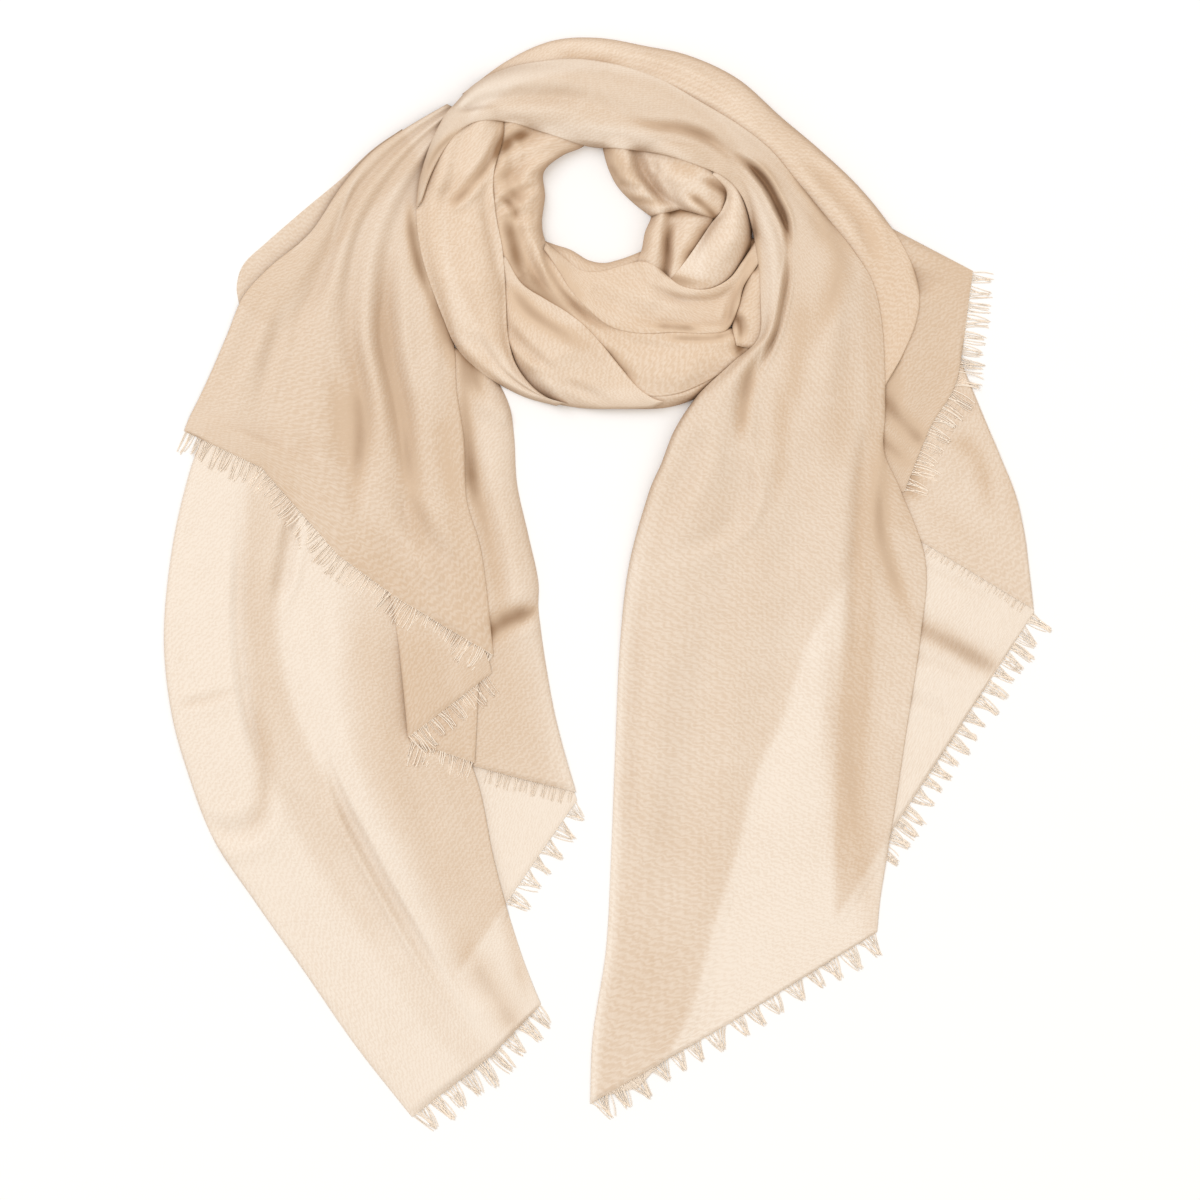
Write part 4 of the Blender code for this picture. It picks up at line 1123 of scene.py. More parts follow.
ARCH_MIDDLE_BAND = Stretch(
    "arch_and_front_tail",
    ("arch_middle_band", "right_front_tail"),
    sections=(
        # outer       groove      inner
        ((417, 210), (419, 207), (422, 203)),
        ((420, 180), (426, 177), (432, 175)),
        ((431, 145), (438, 147), (446, 149)),
        ((447, 114), (455, 121), (463, 130)),
        ((475, 84), (480, 104), (485, 122)),
        ((507, 69), (512, 97), (516, 125)),
        ((543, 62), (547, 97), (551, 136)),
        ((581, 60), (583, 102), (584, 146)),
        ((622, 67), (620, 115), (620, 150)),
        ((661, 81), (657, 127), (654, 154)),
        ((700, 103), (697, 136), (691, 165)),
        ((738, 126), (731, 157), (724, 179)),
        ((770, 151), (757, 184), (742, 199)),
        ((797, 183), (775, 216), (752, 231)),
        ((826, 218), (788, 247), (758, 266)),
        ((852, 250), (787, 284), (760, 300)),
        ((872, 282), (781, 323), (758, 338)),
        ((881, 320), (767, 353), (732, 363)),
        ((884, 362), (752, 384), (698, 395)),
        ((885, 410), (746, 420), (675, 429)),
        ((884, 452), (743, 458), (661, 464)),
        ((901, 492), (736, 494), (648, 495)),
        ((925, 560), (733, 562), (629, 565)),
        ((921, 632), (732, 640), (620, 645)),
        ((905, 738), (730, 750), (615, 758)),
        ((895, 805), (728, 840), (611, 860)),
        ((886, 862), (730, 912), (606, 950)),
        ((880, 900), (735, 975), (593, 1035)),
        ((877, 932), (728, 1024), (590, 1104)),
    ),
    rails=(
        Along(3, 4, 6, 6, 6, 3, 2, 2, 2),
        Along(5, 17, 17, 15, 15, 10, 5, 3, 2),
        Along(3, 9, 9, 8, 8, 5, 3, 2, 2),
    ),
    crowns=(
        Along(1, 3, 3, 3, 3, 3, 1, 0.7, 0.5),
        Along(1, 3, 3, 4, 5, 4, 1.5, 0.8, 0.5),
    ),
    cell=ARCH_CELL,
    plies=Along(0.5, 0.2, 0.5, 1.3, 1.7, 1.3, 0.9, 0.1, 0, 0, 0),
    folds=(Side.LEFT, Side.RIGHT),
    tufts=(Tufts(Side.END, 0.0, 1.0, ("right_tail_fringe",), 22, 0.85, 1.1, 13),),
    roundness=0.75,
    creases=(
        Crease(((848, 310), (843, 400), (836, 490)), 26, 0.5, 0, 0.2),
        Crease(((804, 280), (796, 360), (784, 440)), 16, 0.5, 0, 0.35),
        Crease(((832, 600), (832, 760), (846, 940)), 13, 0.5, 0, 0.3),
        Crease(((868, 500), (868, 640), (860, 800)), 10, 0.5, 0, 0.3),
        Crease(
            ((616, 116), (650, 126), (680, 130), (702, 137), (716, 146), (736, 160)),
            6, 2, 0.3, 0.6,
        ),
        Crease(
            ((726, 152), (748, 166), (764, 183), (776, 204), (786, 228), (789, 262)),
            5, 5, 0.5, 1.1,
        ),
        Crease(((744, 156), (764, 178), (780, 206), (789, 240)), 9, 1.5, 0.1, 0.5),
        Crease(((736, 180), (762, 212), (771, 258), (768, 306), (748, 352)), 13, -1, 0, -0.3),
        Crease(((789, 240), (787, 275), (780, 316), (769, 350), (754, 384)), 4, 1.8, 0.6, 0.3),
        Crease(((786, 168), (804, 190), (824, 214), (842, 238)), 5, 3, 0.6, 0.7),
        Crease(((803, 186), (822, 226), (838, 262), (826, 312), (798, 360)), 17, 1.5, 0, 0.4),
        Crease(((752, 208), (757, 250), (757, 300)), 4, 0.8, 0, 0.6),
        Crease(((466, 128), (452, 138), (438, 152), (428, 172), (422, 194)), 5, 4, 0.6, 0.7),
        Crease(((470, 116), (510, 104), (560, 98), (600, 106)), 10, 1.5, 0.3, 0.12),
        Crease(((770, 154), (800, 186), (836, 230), (862, 270)), 9, 1, 0.2, 0.35),
        Crease(((600, 76), (660, 92), (720, 124), (770, 170)), 14, -1.5),
        Crease(
            ((772, 350), (754, 392), (749, 435), (759, 480), (757, 510), (738, 538), (664, 574)),
            11, -2.2, 0,
        ),
        Crease(((756, 350), (745, 396), (738, 450)), 10, 2, 0.15, 0.7),
        Crease(((738, 440), (742, 490), (722, 530), (644, 566)), 16, 1.6, 0.15),
        Crease(((776, 370), (781, 440), (774, 520)), 11, 1, 0.1, 0.3),
        Crease(((790, 420), (800, 480), (790, 540), (760, 600)), 26, 2, 0.2),
        Crease(((704, 420), (688, 470), (658, 530)), 15, 3, 0.3),
        Crease(((868, 400), (861, 470), (857, 540), (854, 600), (858, 720)), 11, 3, 0.2, 0.35),
        Crease(((882, 410), (878, 490), (881, 540), (896, 584), (922, 650)), 13, 2, 0.2, 0.65),
        Crease(
            ((884, 350), (886, 420), (877, 490), (878, 530), (890, 566), (908, 596)),
            9, -2, 0.3,
        ),
        Crease(((818, 200), (836, 270), (830, 350), (822, 430)), 18, -3, 0),
        Crease(((806, 470), (796, 600), (775, 720), (748, 850)), 28, 2.5, 0.3),
        Crease(((856, 560), (850, 680), (852, 790), (868, 900), (900, 1040)), 24, 0.5, 0, 0.45),
        Crease(((660, 600), (650, 760), (640, 920)), 24, -2.5, 0),
        Crease(((640, 560), (628, 680), (618, 860), (604, 1000)), 12, 1.8, 0.3),
        Crease(((704, 580), (694, 760), (668, 960)), 24, 2, 0.3),
        Crease(((900, 660), (884, 780), (872, 900)), 16, -1.5, 0),
    ),
)


@dataclass(frozen=True)
class Shade:
    """A colour of the yarn, in linear red, green and blue."""

    red: float
    green: float
    blue: float

    def rgba(self) -> tuple[float, float, float, float]:
        """The colour with full alpha, as a shader socket takes it."""
        return (self.red, self.green, self.blue, 1.0)


class NodeChain:
    """Adds nodes to the tree of a material or a geometry group, left to right."""

    def __init__(self, tree: bpy.types.NodeTree) -> None:
        """Start on an empty tree.

        Args:
            tree: The node tree.
        """
        tree.nodes.clear()
        self.tree = tree
        self.count = 0

    def add(self, kind: str, settings: dict | None = None, **inputs: object) -> bpy.types.Node:
        """Add one node.

        Args:
            kind: The node's type.
            settings: Attributes of the node to set.
            inputs: Sockets by name, with _ for a space: a value, or an output to link.

        Returns:
            The new node.
        """
        node = self.tree.nodes.new(kind)
        node.location = (200 * self.count, 0)
        self.count += 1
        for name, value in (settings or {}).items():
            setattr(node, name, value)
        for name, value in inputs.items():
            key = int(name[1:]) if name[1:].isdigit() else name.replace("_", " ")
            if isinstance(value, Socket):
                self.link(value, node.inputs[key])
            else:
                node.inputs[key].default_value = value
        return node

    def link(self, source: Socket, target: Socket) -> None:
        """Join an output to an input."""
        self.tree.links.new(source, target)

    def math(self, operation: str, first: object, second: object) -> Socket:
        """Add a Math node and return its result."""
        return self.add("ShaderNodeMath", {"operation": operation}, _0=first, _1=second).outputs[0]

    def weigh(self, share: float, first: Socket, second: Socket) -> Socket:
        """Add a share of one value to the rest of another.

        Args:
            share: The share of the first value.
            first: The first value.
            second: The second value.

        Returns:
            Their weighted sum.
        """
        taken = self.math("MULTIPLY", first, share)
        return self.math("ADD", taken, self.math("MULTIPLY", second, 1 - share))

    def noise(self, place: Socket, scale: float, detail: float, roughness: float = 0.5) -> Socket:
        """Add a noise and return how high it is.

        Args:
            place: Where it is read.
            scale: How fine it is.
            detail: How many finer noises it has in it.
            roughness: How strong those are.

        Returns:
            The noise, from 0 to 1.
        """
        inputs = {"Vector": place, "Scale": scale, "Detail": detail, "Roughness": roughness}
        return self.add("ShaderNodeTexNoise", **inputs).outputs[0]

    def bump(self, strength: float, distance: float, height: Socket) -> bpy.types.Node:
        """Add a Bump node for a height that stands for so many metres."""
        return self.add("ShaderNodeBump", Strength=strength, Distance=distance, Height=height)

    def blend(self, share: Socket, first: object, second: object) -> Socket:
        """Mix two colours, each a shade or an output.

        Args:
            share: How much of the second colour shows.
            first: The first colour.
            second: The second colour.

        Returns:
            The mixed colour.
        """
        mix = self.add("ShaderNodeMix", {"data_type": "RGBA"}, _0=share)
        for socket, colour in zip([s for s in mix.inputs if s.type == "RGBA"], (first, second)):
            if isinstance(colour, Shade):
                socket.default_value = colour.rgba()
            else:
                self.link(colour, socket)
        return [s for s in mix.outputs if s.type == "RGBA"][0]


@dataclass(frozen=True)
class WovenFinish:
    """A plain weave of fine, slightly uneven wool yarn.

    Attributes:
        name: Name of the material.
        light: Colour of a single layer, and of the yarn's thin places.
        deep: Colour of its thick places, and of the painted tone that layers beneath, steep slopes
            and creases lead to.
        cover: Share of the light that the cloth stops.
        painted_crevice_shade: Colour of the painted shade on the yarn down in a hollow between
            folds.
        base_tone: Tone of a single layer, from 0 light to 1 deep.
        grain: How far the weave's thick and thin places change the tone.
        roughness: How matt the yarn is.
        specular: How strongly it reflects.
        nap: How much its loose hairs catch the light.
        nap_roughness: How widely they scatter it.
        nap_tint: Colour of their light.
        relief: Height of the weave in the bump, in metres.
        weave_bump: Strength of that bump.
        crumple: Height of the cloth's small crumples, in metres.
        crumple_bump: Strength of their bump.
    """

    name: str
    light: Shade
    deep: Shade
    cover: float
    # painted shade colour for hollows between folds
    painted_crevice_shade: Shade = Shade(0.300, 0.175, 0.095)
    base_tone: float = 0.09
    grain: float = 1.05
    roughness: float = 0.88
    specular: float = 0.08
    nap: float = 0.12
    nap_roughness: float = 0.45
    nap_tint: Shade = Shade(1.0, 0.93, 0.84)
    relief: float = 0.16 * MM
    weave_bump: float = 0.7
    crumple: float = 1.1 * MM
    crumple_bump: float = 0.65

    def material(self) -> bpy.types.Material:
        """Make the material, or return it where it is made.

        Returns:
            The finish as a material.
        """
        made = bpy.data.materials.get(self.name)
        if made:
            return made
        made = bpy.data.materials.new(self.name)
        made.use_nodes = True
        chain = NodeChain(made.node_tree)
        cloth = chain.add("ShaderNodeUVMap", {"uv_map": "cloth"}).outputs["UV"]
        place = chain.add("ShaderNodeTexCoord").outputs["Object"]
        weave = self.weave(chain, cloth)
        shader = chain.add(
            "ShaderNodeBsdfPrincipled",
            Base_Color=self.colour(chain, weave, place),
            Roughness=self.roughness,
            Specular_IOR_Level=self.specular,
            Sheen_Weight=self.nap,
            Sheen_Roughness=self.nap_roughness,
            Sheen_Tint=self.nap_tint.rgba(),
        )
        if self.cover < 1:
            shader.inputs["Alpha"].default_value = self.cover
        chain.link(self.surface(chain, weave, place), shader.inputs["Normal"])
        chain.add("ShaderNodeOutputMaterial", Surface=shader.outputs[0])
        return made

    def weave(self, chain: NodeChain, cloth: Socket) -> Socket:
        """The height of the weave, as threads with slubs and a crimp.

        Args:
            chain: Where the nodes go.
            cloth: Place on the cloth, in metres along its yarns.

        Returns:
            The height, from 0 to 1.
        """
        warp = self.slubs(chain, cloth, (1 / THREAD_PITCH, WARP_SLUBS, 1))
        weft = self.slubs(chain, cloth, (WEFT_SLUBS, 1 / THREAD_PITCH, 1))
        slubs = chain.math("MULTIPLY", chain.math("ADD", warp, weft), 0.5)
        yarn = chain.weigh(SLUB_SHARE, slubs, self.threads(chain, cloth))
        return chain.weigh(YARN_SHARE, yarn, self.crimp(chain, cloth))

    def colour(self, chain: NodeChain, weave: Socket, place: Socket) -> Socket:
        """The yarn's colour, with painted tone over layers of cloth, on steep slopes and along
        creases, and painted shade down in hollows.

        Args:
            chain: Where the nodes go.
            weave: Height of the weave.
            place: Place on the shawl.

        Returns:
            The colour.
        """
        grain = chain.weigh(WEAVE_SHARE, weave, chain.noise(place, scale=14, detail=3))
        uneven = chain.math("MULTIPLY", chain.math("SUBTRACT", grain, 0.5), self.grain)
        # The layers attribute is painted tone and shade: darker over layers beneath, on steep
        # slopes and along creases.
        layers = chain.add("ShaderNodeAttribute", {"attribute_name": "layers"}).outputs["Fac"]
        settings = {"operation": "ADD", "use_clamp": True}
        even = chain.math("ADD", layers, self.base_tone)
        depth = chain.add("ShaderNodeMath", settings, _0=even, _1=uneven).outputs[0]
        # Painted shade: points down in hollows are blended towards the painted crevice colour.
        painted_hollow_shade = chain.add("ShaderNodeAttribute", {"attribute_name": "painted_hollow_shade"}).outputs["Fac"]
        return chain.blend(painted_hollow_shade, chain.blend(depth, self.light, self.deep), self.painted_crevice_shade)

    def surface(self, chain: NodeChain, weave: Socket, place: Socket) -> Socket:
        """The way the surface faces, with its crumples and its weave.

        Args:
            chain: Where the nodes go.
            weave: Height of the weave.
            place: Place on the shawl.

        Returns:
            The normal.
        """
        crumples = chain.noise(place, scale=42, detail=4, roughness=0.55)
        soft = chain.bump(self.crumple_bump, self.crumple, crumples)
        fine = chain.bump(self.weave_bump, self.relief, weave)
        chain.link(soft.outputs[0], fine.inputs["Normal"])
        return fine.outputs[0]

    @staticmethod
    def slubs(chain: NodeChain, cloth: Socket, scale: tuple[float, float, float]) -> Socket:
        """Long thick and thin places along the yarn, so many to a metre each way."""
        mapping = chain.add("ShaderNodeMapping", Vector=cloth, Scale=scale)
        return chain.noise(mapping.outputs[0], scale=1, detail=2, roughness=0.6)

    @staticmethod
    def crimp(chain: NodeChain, cloth: Socket) -> Socket:
        """The short waves that loose yarns keep from the loom.

        Args:
            chain: Where the node goes.
            cloth: Place on the cloth.

        Returns:
            The height of the waves.
        """
        return chain.add(
            "ShaderNodeTexWave",
            {"bands_direction": "DIAGONAL"},
            Vector=cloth,
            Scale=CRIMP_SCALE,
            Distortion=9.0,
            Detail=3.0,
            Detail_Scale=1.6,
            Detail_Roughness=0.6,
        ).outputs["Fac"]

    @staticmethod
    def threads(chain: NodeChain, cloth: Socket) -> Socket:
        """The yarns themselves, over and under each other.

        Args:
            chain: Where the nodes go.
            cloth: Place on the cloth.

        Returns:
            The height of the yarns.
        """
        wave_scale = math.pi / (WAVES_A_UNIT * THREAD_PITCH)
        waves = [
            chain.add(
                "ShaderNodeTexWave",
                {"bands_direction": axis},
                Vector=cloth,
                Scale=wave_scale,
                Distortion=3.0,
                Detail=2.0,
                Detail_Scale=0.6,
            ).outputs["Fac"]
            for axis in ("X", "Y")
        ]
        return chain.math("MULTIPLY", chain.math("ADD", *waves), 0.5)


YARN_SINGLE = Shade(0.895, 0.795, 0.685)
# The deep colour that painted tone over layers, and painted shade on steep slopes and in creases,
# lead to
YARN_LAYERED_AND_SHADED = Shade(0.685, 0.518, 0.370)
YARN_ENDS = Shade(0.96, 0.845, 0.715)
FINISHES = {
    Weight.SHEER: WovenFinish(Weight.SHEER.value, YARN_SINGLE, YARN_LAYERED_AND_SHADED, 0.93),
    Weight.WOUND: WovenFinish(Weight.WOUND.value, YARN_SINGLE, YARN_LAYERED_AND_SHADED, 1.0),
}
FRINGE_FINISH = WovenFinish("pashmina_yarn_ends", YARN_ENDS, YARN_LAYERED_AND_SHADED, 1.0)


class Relief:
    """Height of all that has been laid so far, on a square grid over the floor."""

    def __init__(self) -> None:
        """Start with bare floor."""
        self.count = int(2 * RELIEF_REACH / RELIEF_CELL)
        self.height = np.zeros((self.count, self.count))
        self.layers = np.zeros((self.count, self.count))

    @staticmethod
    def cell(values: np.ndarray) -> np.ndarray:
        """Fractional cell numbers of metres along either axis."""
        return (values + RELIEF_REACH) / RELIEF_CELL

    def add(self, face: np.ndarray, shows: np.ndarray) -> None:
        """Raise the relief to a laid grid of points.

        Args:
            face: Rows and columns of points.
            shows: How much it deepens the painted tone of what lies on it, at each point.
        """
        covered = np.zeros(self.layers.shape)
        for i in range(RELIEF_SPLITS):
            for j in range(RELIEF_SPLITS):
                s, t = i / RELIEF_SPLITS, j / RELIEF_SPLITS
                points = (
                    face[:-1, :-1] * (1 - s) * (1 - t)
                    + face[1:, :-1] * s * (1 - t)
                    + face[:-1, 1:] * (1 - s) * t
                    + face[1:, 1:] * s * t
                )
                x, y, z = points.reshape(-1, 3).T
                place = (self.cell(y).astype(int), self.cell(x).astype(int))
                np.maximum.at(self.height, place, z)
                np.maximum.at(covered, place, shows[:-1, :-1].ravel())
        self.layers += covered

    def support(self) -> np.ndarray:
        """Widen the relief a little, then soften it, as cloth would bridge its steps.

        Returns:
            The bridged heights.
        """
        wide = self.height
        for _ in range(BRIDGED_CELLS):
            wide = self.neighbours(wide).max(axis=0)
        return self.soften(wide, BRIDGED_BLUR)

    def soften(self, grid: np.ndarray, times: int) -> np.ndarray:
        """Blur a grid, a cell further each time.

        Args:
            grid: The grid.
            times: How often.

        Returns:
            The blurred grid.
        """
        for _ in range(times):
            grid = self.neighbours(grid).mean(axis=0)
        return grid

    def neighbours(self, grid: np.ndarray) -> np.ndarray:
        """A grid shifted to each of its cell's neighbours.

        Args:
            grid: The grid.

        Returns:
            Nine grids, the unshifted one among them.
        """
        padded = np.pad(grid, 1)
        shifts = [(i, j) for i in range(3) for j in range(3)]
        return np.stack([padded[i : i + self.count, j : j + self.count] for i, j in shifts])

    def read(self, grid: np.ndarray, points: np.ndarray) -> np.ndarray:
        """Read a grid between its cells.

        Args:
            grid: Heights, or numbers of layers.
            points: Where it is read, in metres.

        Returns:
            The number at each point.
        """
        column, row = (self.cell(points[..., axis]) - 0.5 for axis in (0, 1))
        c, r = np.floor(column).astype(int), np.floor(row).astype(int)
        s, t = column - c, row - r
        low = grid[r, c] * (1 - s) + grid[r, c + 1] * s
        high = grid[r + 1, c] * (1 - s) + grid[r + 1, c + 1] * s
        return low * (1 - t) + high * t


def soft_maximum(first: np.ndarray, second: np.ndarray) -> np.ndarray:
    """The larger of two heights, rounded where they cross.

    Args:
        first: One height at each point.
        second: The other.

    Returns:
        The rounded height at each point.
    """
    gap = np.abs(first - second)
    rounding = np.clip(1 - gap / (2 * SOFTNESS), 0, 1) ** 2 * SOFTNESS / 2
    return np.maximum(first, second) + rounding


def plan_direction(vectors: np.ndarray) -> np.ndarray:
    """Turn vectors into unit vectors on the floor.

    Args:
        vectors: The vectors.

    Returns:
        Their level directions.
    """
    flat = vectors.copy()
    flat[..., 2] = 0
    size = np.linalg.norm(flat, axis=-1, keepdims=True)
    return flat / np.maximum(size, TINY)


@dataclass
class Sheet:
    """One laid stretch of cloth and its object.

    Attributes:
        stretch: What it is made from.
        face: Its laid points, as a grid.
        item: Its object.
        measure: Width and length of the cut that it was made from.
        painted_pocket_shade: Painted shade that its deepest creases add to its painted hollow
            shade.
    """

    stretch: Stretch
    face: np.ndarray
    item: bpy.types.Object
    measure: tuple[float, float]
    painted_pocket_shade: np.ndarray

    def border(self, side: Side) -> tuple[np.ndarray, np.ndarray]:
        """The points of one border, and of the line beside it.

        Args:
            side: Which border.

        Returns:
            The border's points and the inner line's.
        """
        face = self.face
        lines = {
            Side.START: (face[0], face[1]),
            Side.END: (face[-1], face[-2]),
            Side.LEFT: (face[:, 0], face[:, 1]),
            Side.RIGHT: (face[:, -1], face[:, -2]),
        }
        return lines[side]


class Loom:
    """Lays sheets one on another and makes their meshes."""

    def __init__(self) -> None:
        """Start with bare floor."""
        self.relief = Relief()
        self.laid: list[Sheet] = []

    def lay(self, stretch: Stretch) -> Sheet:
        """Lay one stretch on what has been laid before it.

        Args:
            stretch: The stretch to lay.

        Returns:
            The laid sheet.
        """
        face = stretch.free_face()
        support = self.relief.support()
        below = self.relief.read(support, face)
        free = face[..., 2].copy()
        lifted = soft_maximum(free, below + SHEET_GAP)
        face[..., 2] = np.where(below > BARE_FLOOR, lifted, free)
        carrier = self.relief.soften(self.relief.height, 1)
        touch = self.relief.read(carrier, face) + BORDER_GAP
        for side in Side:
            reach = stretch.roll * PLAN_UNIT if side in stretch.folds else OPEN_ROLL
            self.round_border(face, touch, side, reach)
        beneath = self.relief.soften(self.relief.layers, 1)
        self.relief.add(face, self.showing(stretch, face))
        wide = face
        for side in stretch.folds:
            wide = self.turn_under(wide, side, carrier)
        measure = self.measure(wide)
        item = self.mesh_object(stretch, wide)
        # Painted tone: darker over more layers beneath, in place of less floor light showing
        # through the sheer cloth, with painted shade on steep slopes and along creases.
        plies = stretch.plies.at(np.linspace(0, 1, face.shape[0]))[:, None]
        layers = self.relief.read(beneath, face) + plies
        painted_layer_and_slope_tone = LAYER_MOST * (1 - np.exp(-LAYER_SHADE * layers)) + SLOPE_SHADE * self.tilt(face)
        place = to_plan(face[..., 0], face[..., 1])
        # Painted shade along creases, and painted highlight where a crease's tone is negative.
        shades = (crease.shade(*place) for crease in stretch.creases if crease.tone)
        painted_crease_shade = sum(shades, np.zeros(layers.shape))
        tone = np.clip(painted_layer_and_slope_tone + painted_crease_shade, 0, 1)
        # The layers attribute holds this painted tone and shade, not a plain count of layers.
        self.paint(item.data, "layers", self.carried_round(stretch, tone))
        return Sheet(stretch, face, item, measure, np.clip(painted_crease_shade - POCKET_SHADE_START, 0, None))

    @staticmethod
    def showing(stretch: Stretch, face: np.ndarray) -> np.ndarray:
        """How much a sheet shows through what lies on it.

        Args:
            stretch: The stretch it is.
            face: Its laid points.

        Returns:
            How much it shows at each point.
        """
        steps = np.linalg.norm(np.diff(face[..., :2], axis=1), axis=2)
        away = np.pad(np.cumsum(steps, axis=1), ((0, 0), (1, 0)))
        nearest = np.minimum(away, away[:, -1:] - away)
        rows = stretch.shows.at(np.linspace(0, 1, face.shape[0]))[:, None]
        return rows * smooth_step(BORDER_SHOWS + nearest / (stretch.fade * PLAN_UNIT))

    @staticmethod
    def round_border(face: np.ndarray, touch: np.ndarray, side: Side, reach: float) -> None:
        """Bring a border down in a quarter round.

        Args:
            face: The sheet's grid, which is changed.
            touch: Height at which the sheet would touch what it lies on, at its points.
            side: The border.
            reach: Distance from the border to where the round starts.
        """
        across = side in (Side.LEFT, Side.RIGHT)
        grid, lowest = (np.swapaxes(face, 0, 1), touch.T) if across else (face, touch)
        if side in (Side.RIGHT, Side.END):
            grid, lowest = grid[::-1], lowest[::-1]
        steps = np.linalg.norm(np.diff(grid[..., :2], axis=0), axis=2)
        away = np.concatenate([np.zeros((1, grid.shape[1])), np.cumsum(steps, axis=0)])
        inside = 1 - np.clip(away / reach, 0, 1)
        share = EDGE_HEIGHT + (1 - EDGE_HEIGHT) * np.sqrt(1 - inside**2)
        rise = np.clip(grid[..., 2] - lowest, 0, None)
        grid[..., 2] += rise * (share - 1)

    def shade(self) -> None:
        """Paint shade on each sheet's points for how much of the sky the folds round them hide."""
        height = self.relief.soften(self.relief.height, 1)
        turns = np.arange(SKY_DIRECTIONS) * 2 * math.pi / SKY_DIRECTIONS
        for sheet in self.laid:
            level = sheet.face[..., 2]
            hidden = np.zeros(level.shape)
            for turn in turns:
                horizon = np.zeros(level.shape)
                onward = np.array((math.cos(turn), math.sin(turn), 0))
                for reach in SKY_REACHES:
                    away = self.relief.read(height, sheet.face + reach * onward)
                    horizon = np.maximum(horizon, (away - level - SKY_BIAS) / reach)
                hidden += horizon**2 / (1 + horizon**2)
            hidden = SKY_SHADE * self.evened(hidden) / SKY_DIRECTIONS
            painted_hollow_shade = np.clip(hidden + sheet.painted_pocket_shade, 0, 1)
            self.paint(sheet.item.data, "painted_hollow_shade", self.carried_round(sheet.stretch, painted_hollow_shade))

    @staticmethod
    def evened(values: np.ndarray) -> np.ndarray:
        """Soften the numbers of a sheet's points.

        Args:
            values: One number a point.

        Returns:
            The softened numbers.
        """
        for _ in range(SKY_BLUR):
            padded = np.pad(values, 1, mode="edge")
            values = (padded[:-2] + 2 * padded[1:-1] + padded[2:]) / 4
            values = (values[:, :-2] + 2 * values[:, 1:-1] + values[:, 2:]) / 4
        return values

    @staticmethod
    def carried_round(stretch: Stretch, values: np.ndarray) -> np.ndarray:
        """Numbers for a sheet's points, with its borders' numbers on its turned rows."""
        turned = [len(TURN_STEPS) * (side in stretch.folds) for side in Side]
        return np.pad(values, (turned[:2], turned[2:]), mode="edge")

    @staticmethod
    def tilt(face: np.ndarray) -> np.ndarray:
        """How steep a grid is.

        Args:
            face: The grid.

        Returns:
            0 at each point where it is level, up to 1 where it is upright.
        """
        normal = np.cross(np.gradient(face, axis=0), np.gradient(face, axis=1))
        size = np.linalg.norm(normal, axis=-1)
        return 1 - np.abs(normal[..., 2]) / np.maximum(size, TINY * MM)

    @staticmethod
    def paint(mesh: bpy.types.Mesh, name: str, values: np.ndarray) -> None:
        """Set one number a point as an attribute."""
        mesh.attributes.new(name, "FLOAT", "POINT").data.foreach_set("value", values.ravel())

    def turn_under(self, face: np.ndarray, side: Side, support: np.ndarray) -> np.ndarray:
        """Carry a border on round a fold and back under the sheet.

        Args:
            face: The sheet's grid.
            side: The border that turns.
            support: What the sheet lies on.

        Returns:
            The grid with the turned rows added.
        """
        if side in (Side.LEFT, Side.RIGHT):
            turned = self.turned_rows(np.swapaxes(face, 0, 1), side is Side.LEFT, support)
            return np.swapaxes(turned, 0, 1)
        return self.turned_rows(face, side is Side.START, support)

    def turned_rows(self, face: np.ndarray, first: bool, support: np.ndarray) -> np.ndarray:
        """Add turned rows to a grid.

        Args:
            face: The grid.
            first: Whether they go before its first row, and not after its last.
            support: What the sheet lies on.

        Returns:
            The longer grid.
        """
        edge, inner = (face[0], face[2]) if first else (face[-1], face[-3])
        floor = self.relief.read(support, edge) + TURN_CLEARANCE
        drop = np.clip(edge[:, 2] - floor, TURN_LEAST, None)
        inward = plan_direction(inner - edge)
        rows = []
        for across, down in TURN_STEPS:
            row = edge + inward * (across * np.minimum(drop, TURN_MOST))[:, None]
            row[:, 2] = np.maximum(edge[:, 2] - down * drop, TURN_FLOOR)
            rows.append(row)
        added = np.stack(rows)
        return np.concatenate([added[::-1], face]) if first else np.concatenate([face, added])

    @staticmethod
    def measure(face: np.ndarray) -> tuple[float, float]:
        """Mean width and length of a grid, along its surface.

        Args:
            face: The grid.

        Returns:
            Its width and its length.
        """
        across = np.linalg.norm(np.diff(face, axis=1), axis=2).sum(axis=1).mean()
        down = np.linalg.norm(np.diff(face, axis=0), axis=2).sum(axis=0).mean()
        return float(across), float(down)

    @staticmethod
    def mesh_object(stretch: Stretch, face: np.ndarray) -> bpy.types.Object:
        """Make the object of a laid grid, with its thread directions as UVs.

        Args:
            stretch: The stretch it is.
            face: Its grid, turned borders included.

        Returns:
            The object, linked to the scene.
        """
        rows, columns = face.shape[:2]
        index = np.arange(rows * columns).reshape(rows, columns)
        corners = (index[:-1, :-1], index[:-1, 1:], index[1:, 1:], index[1:, :-1])
        quads = np.stack(corners, axis=-1).reshape(-1, 4)
        first, second, _, fourth = (face.reshape(-1, 3)[quads[:, k]] for k in range(4))
        if np.cross(second - first, fourth - first)[:, 2].sum() < 0:
            quads = quads[:, ::-1]
        mesh = bpy.data.meshes.new(stretch.name)
        mesh.from_pydata(face.reshape(-1, 3).tolist(), [], quads.tolist())
        middle_row, middle_column = face[rows // 2], face[:, columns // 2]
        u, v = np.meshgrid(travelled(middle_row), travelled(middle_column))
        threads = np.stack([u.ravel(), v.ravel()], axis=1)[quads.ravel()]
        mesh.uv_layers.new(name="cloth").data.foreach_set("uv", threads.ravel())
        mesh.shade_smooth()
        mesh.materials.append(FINISHES[stretch.finish].material())
        item = bpy.data.objects.new(stretch.name, mesh)
        bpy.context.scene.collection.objects.link(item)
        return item


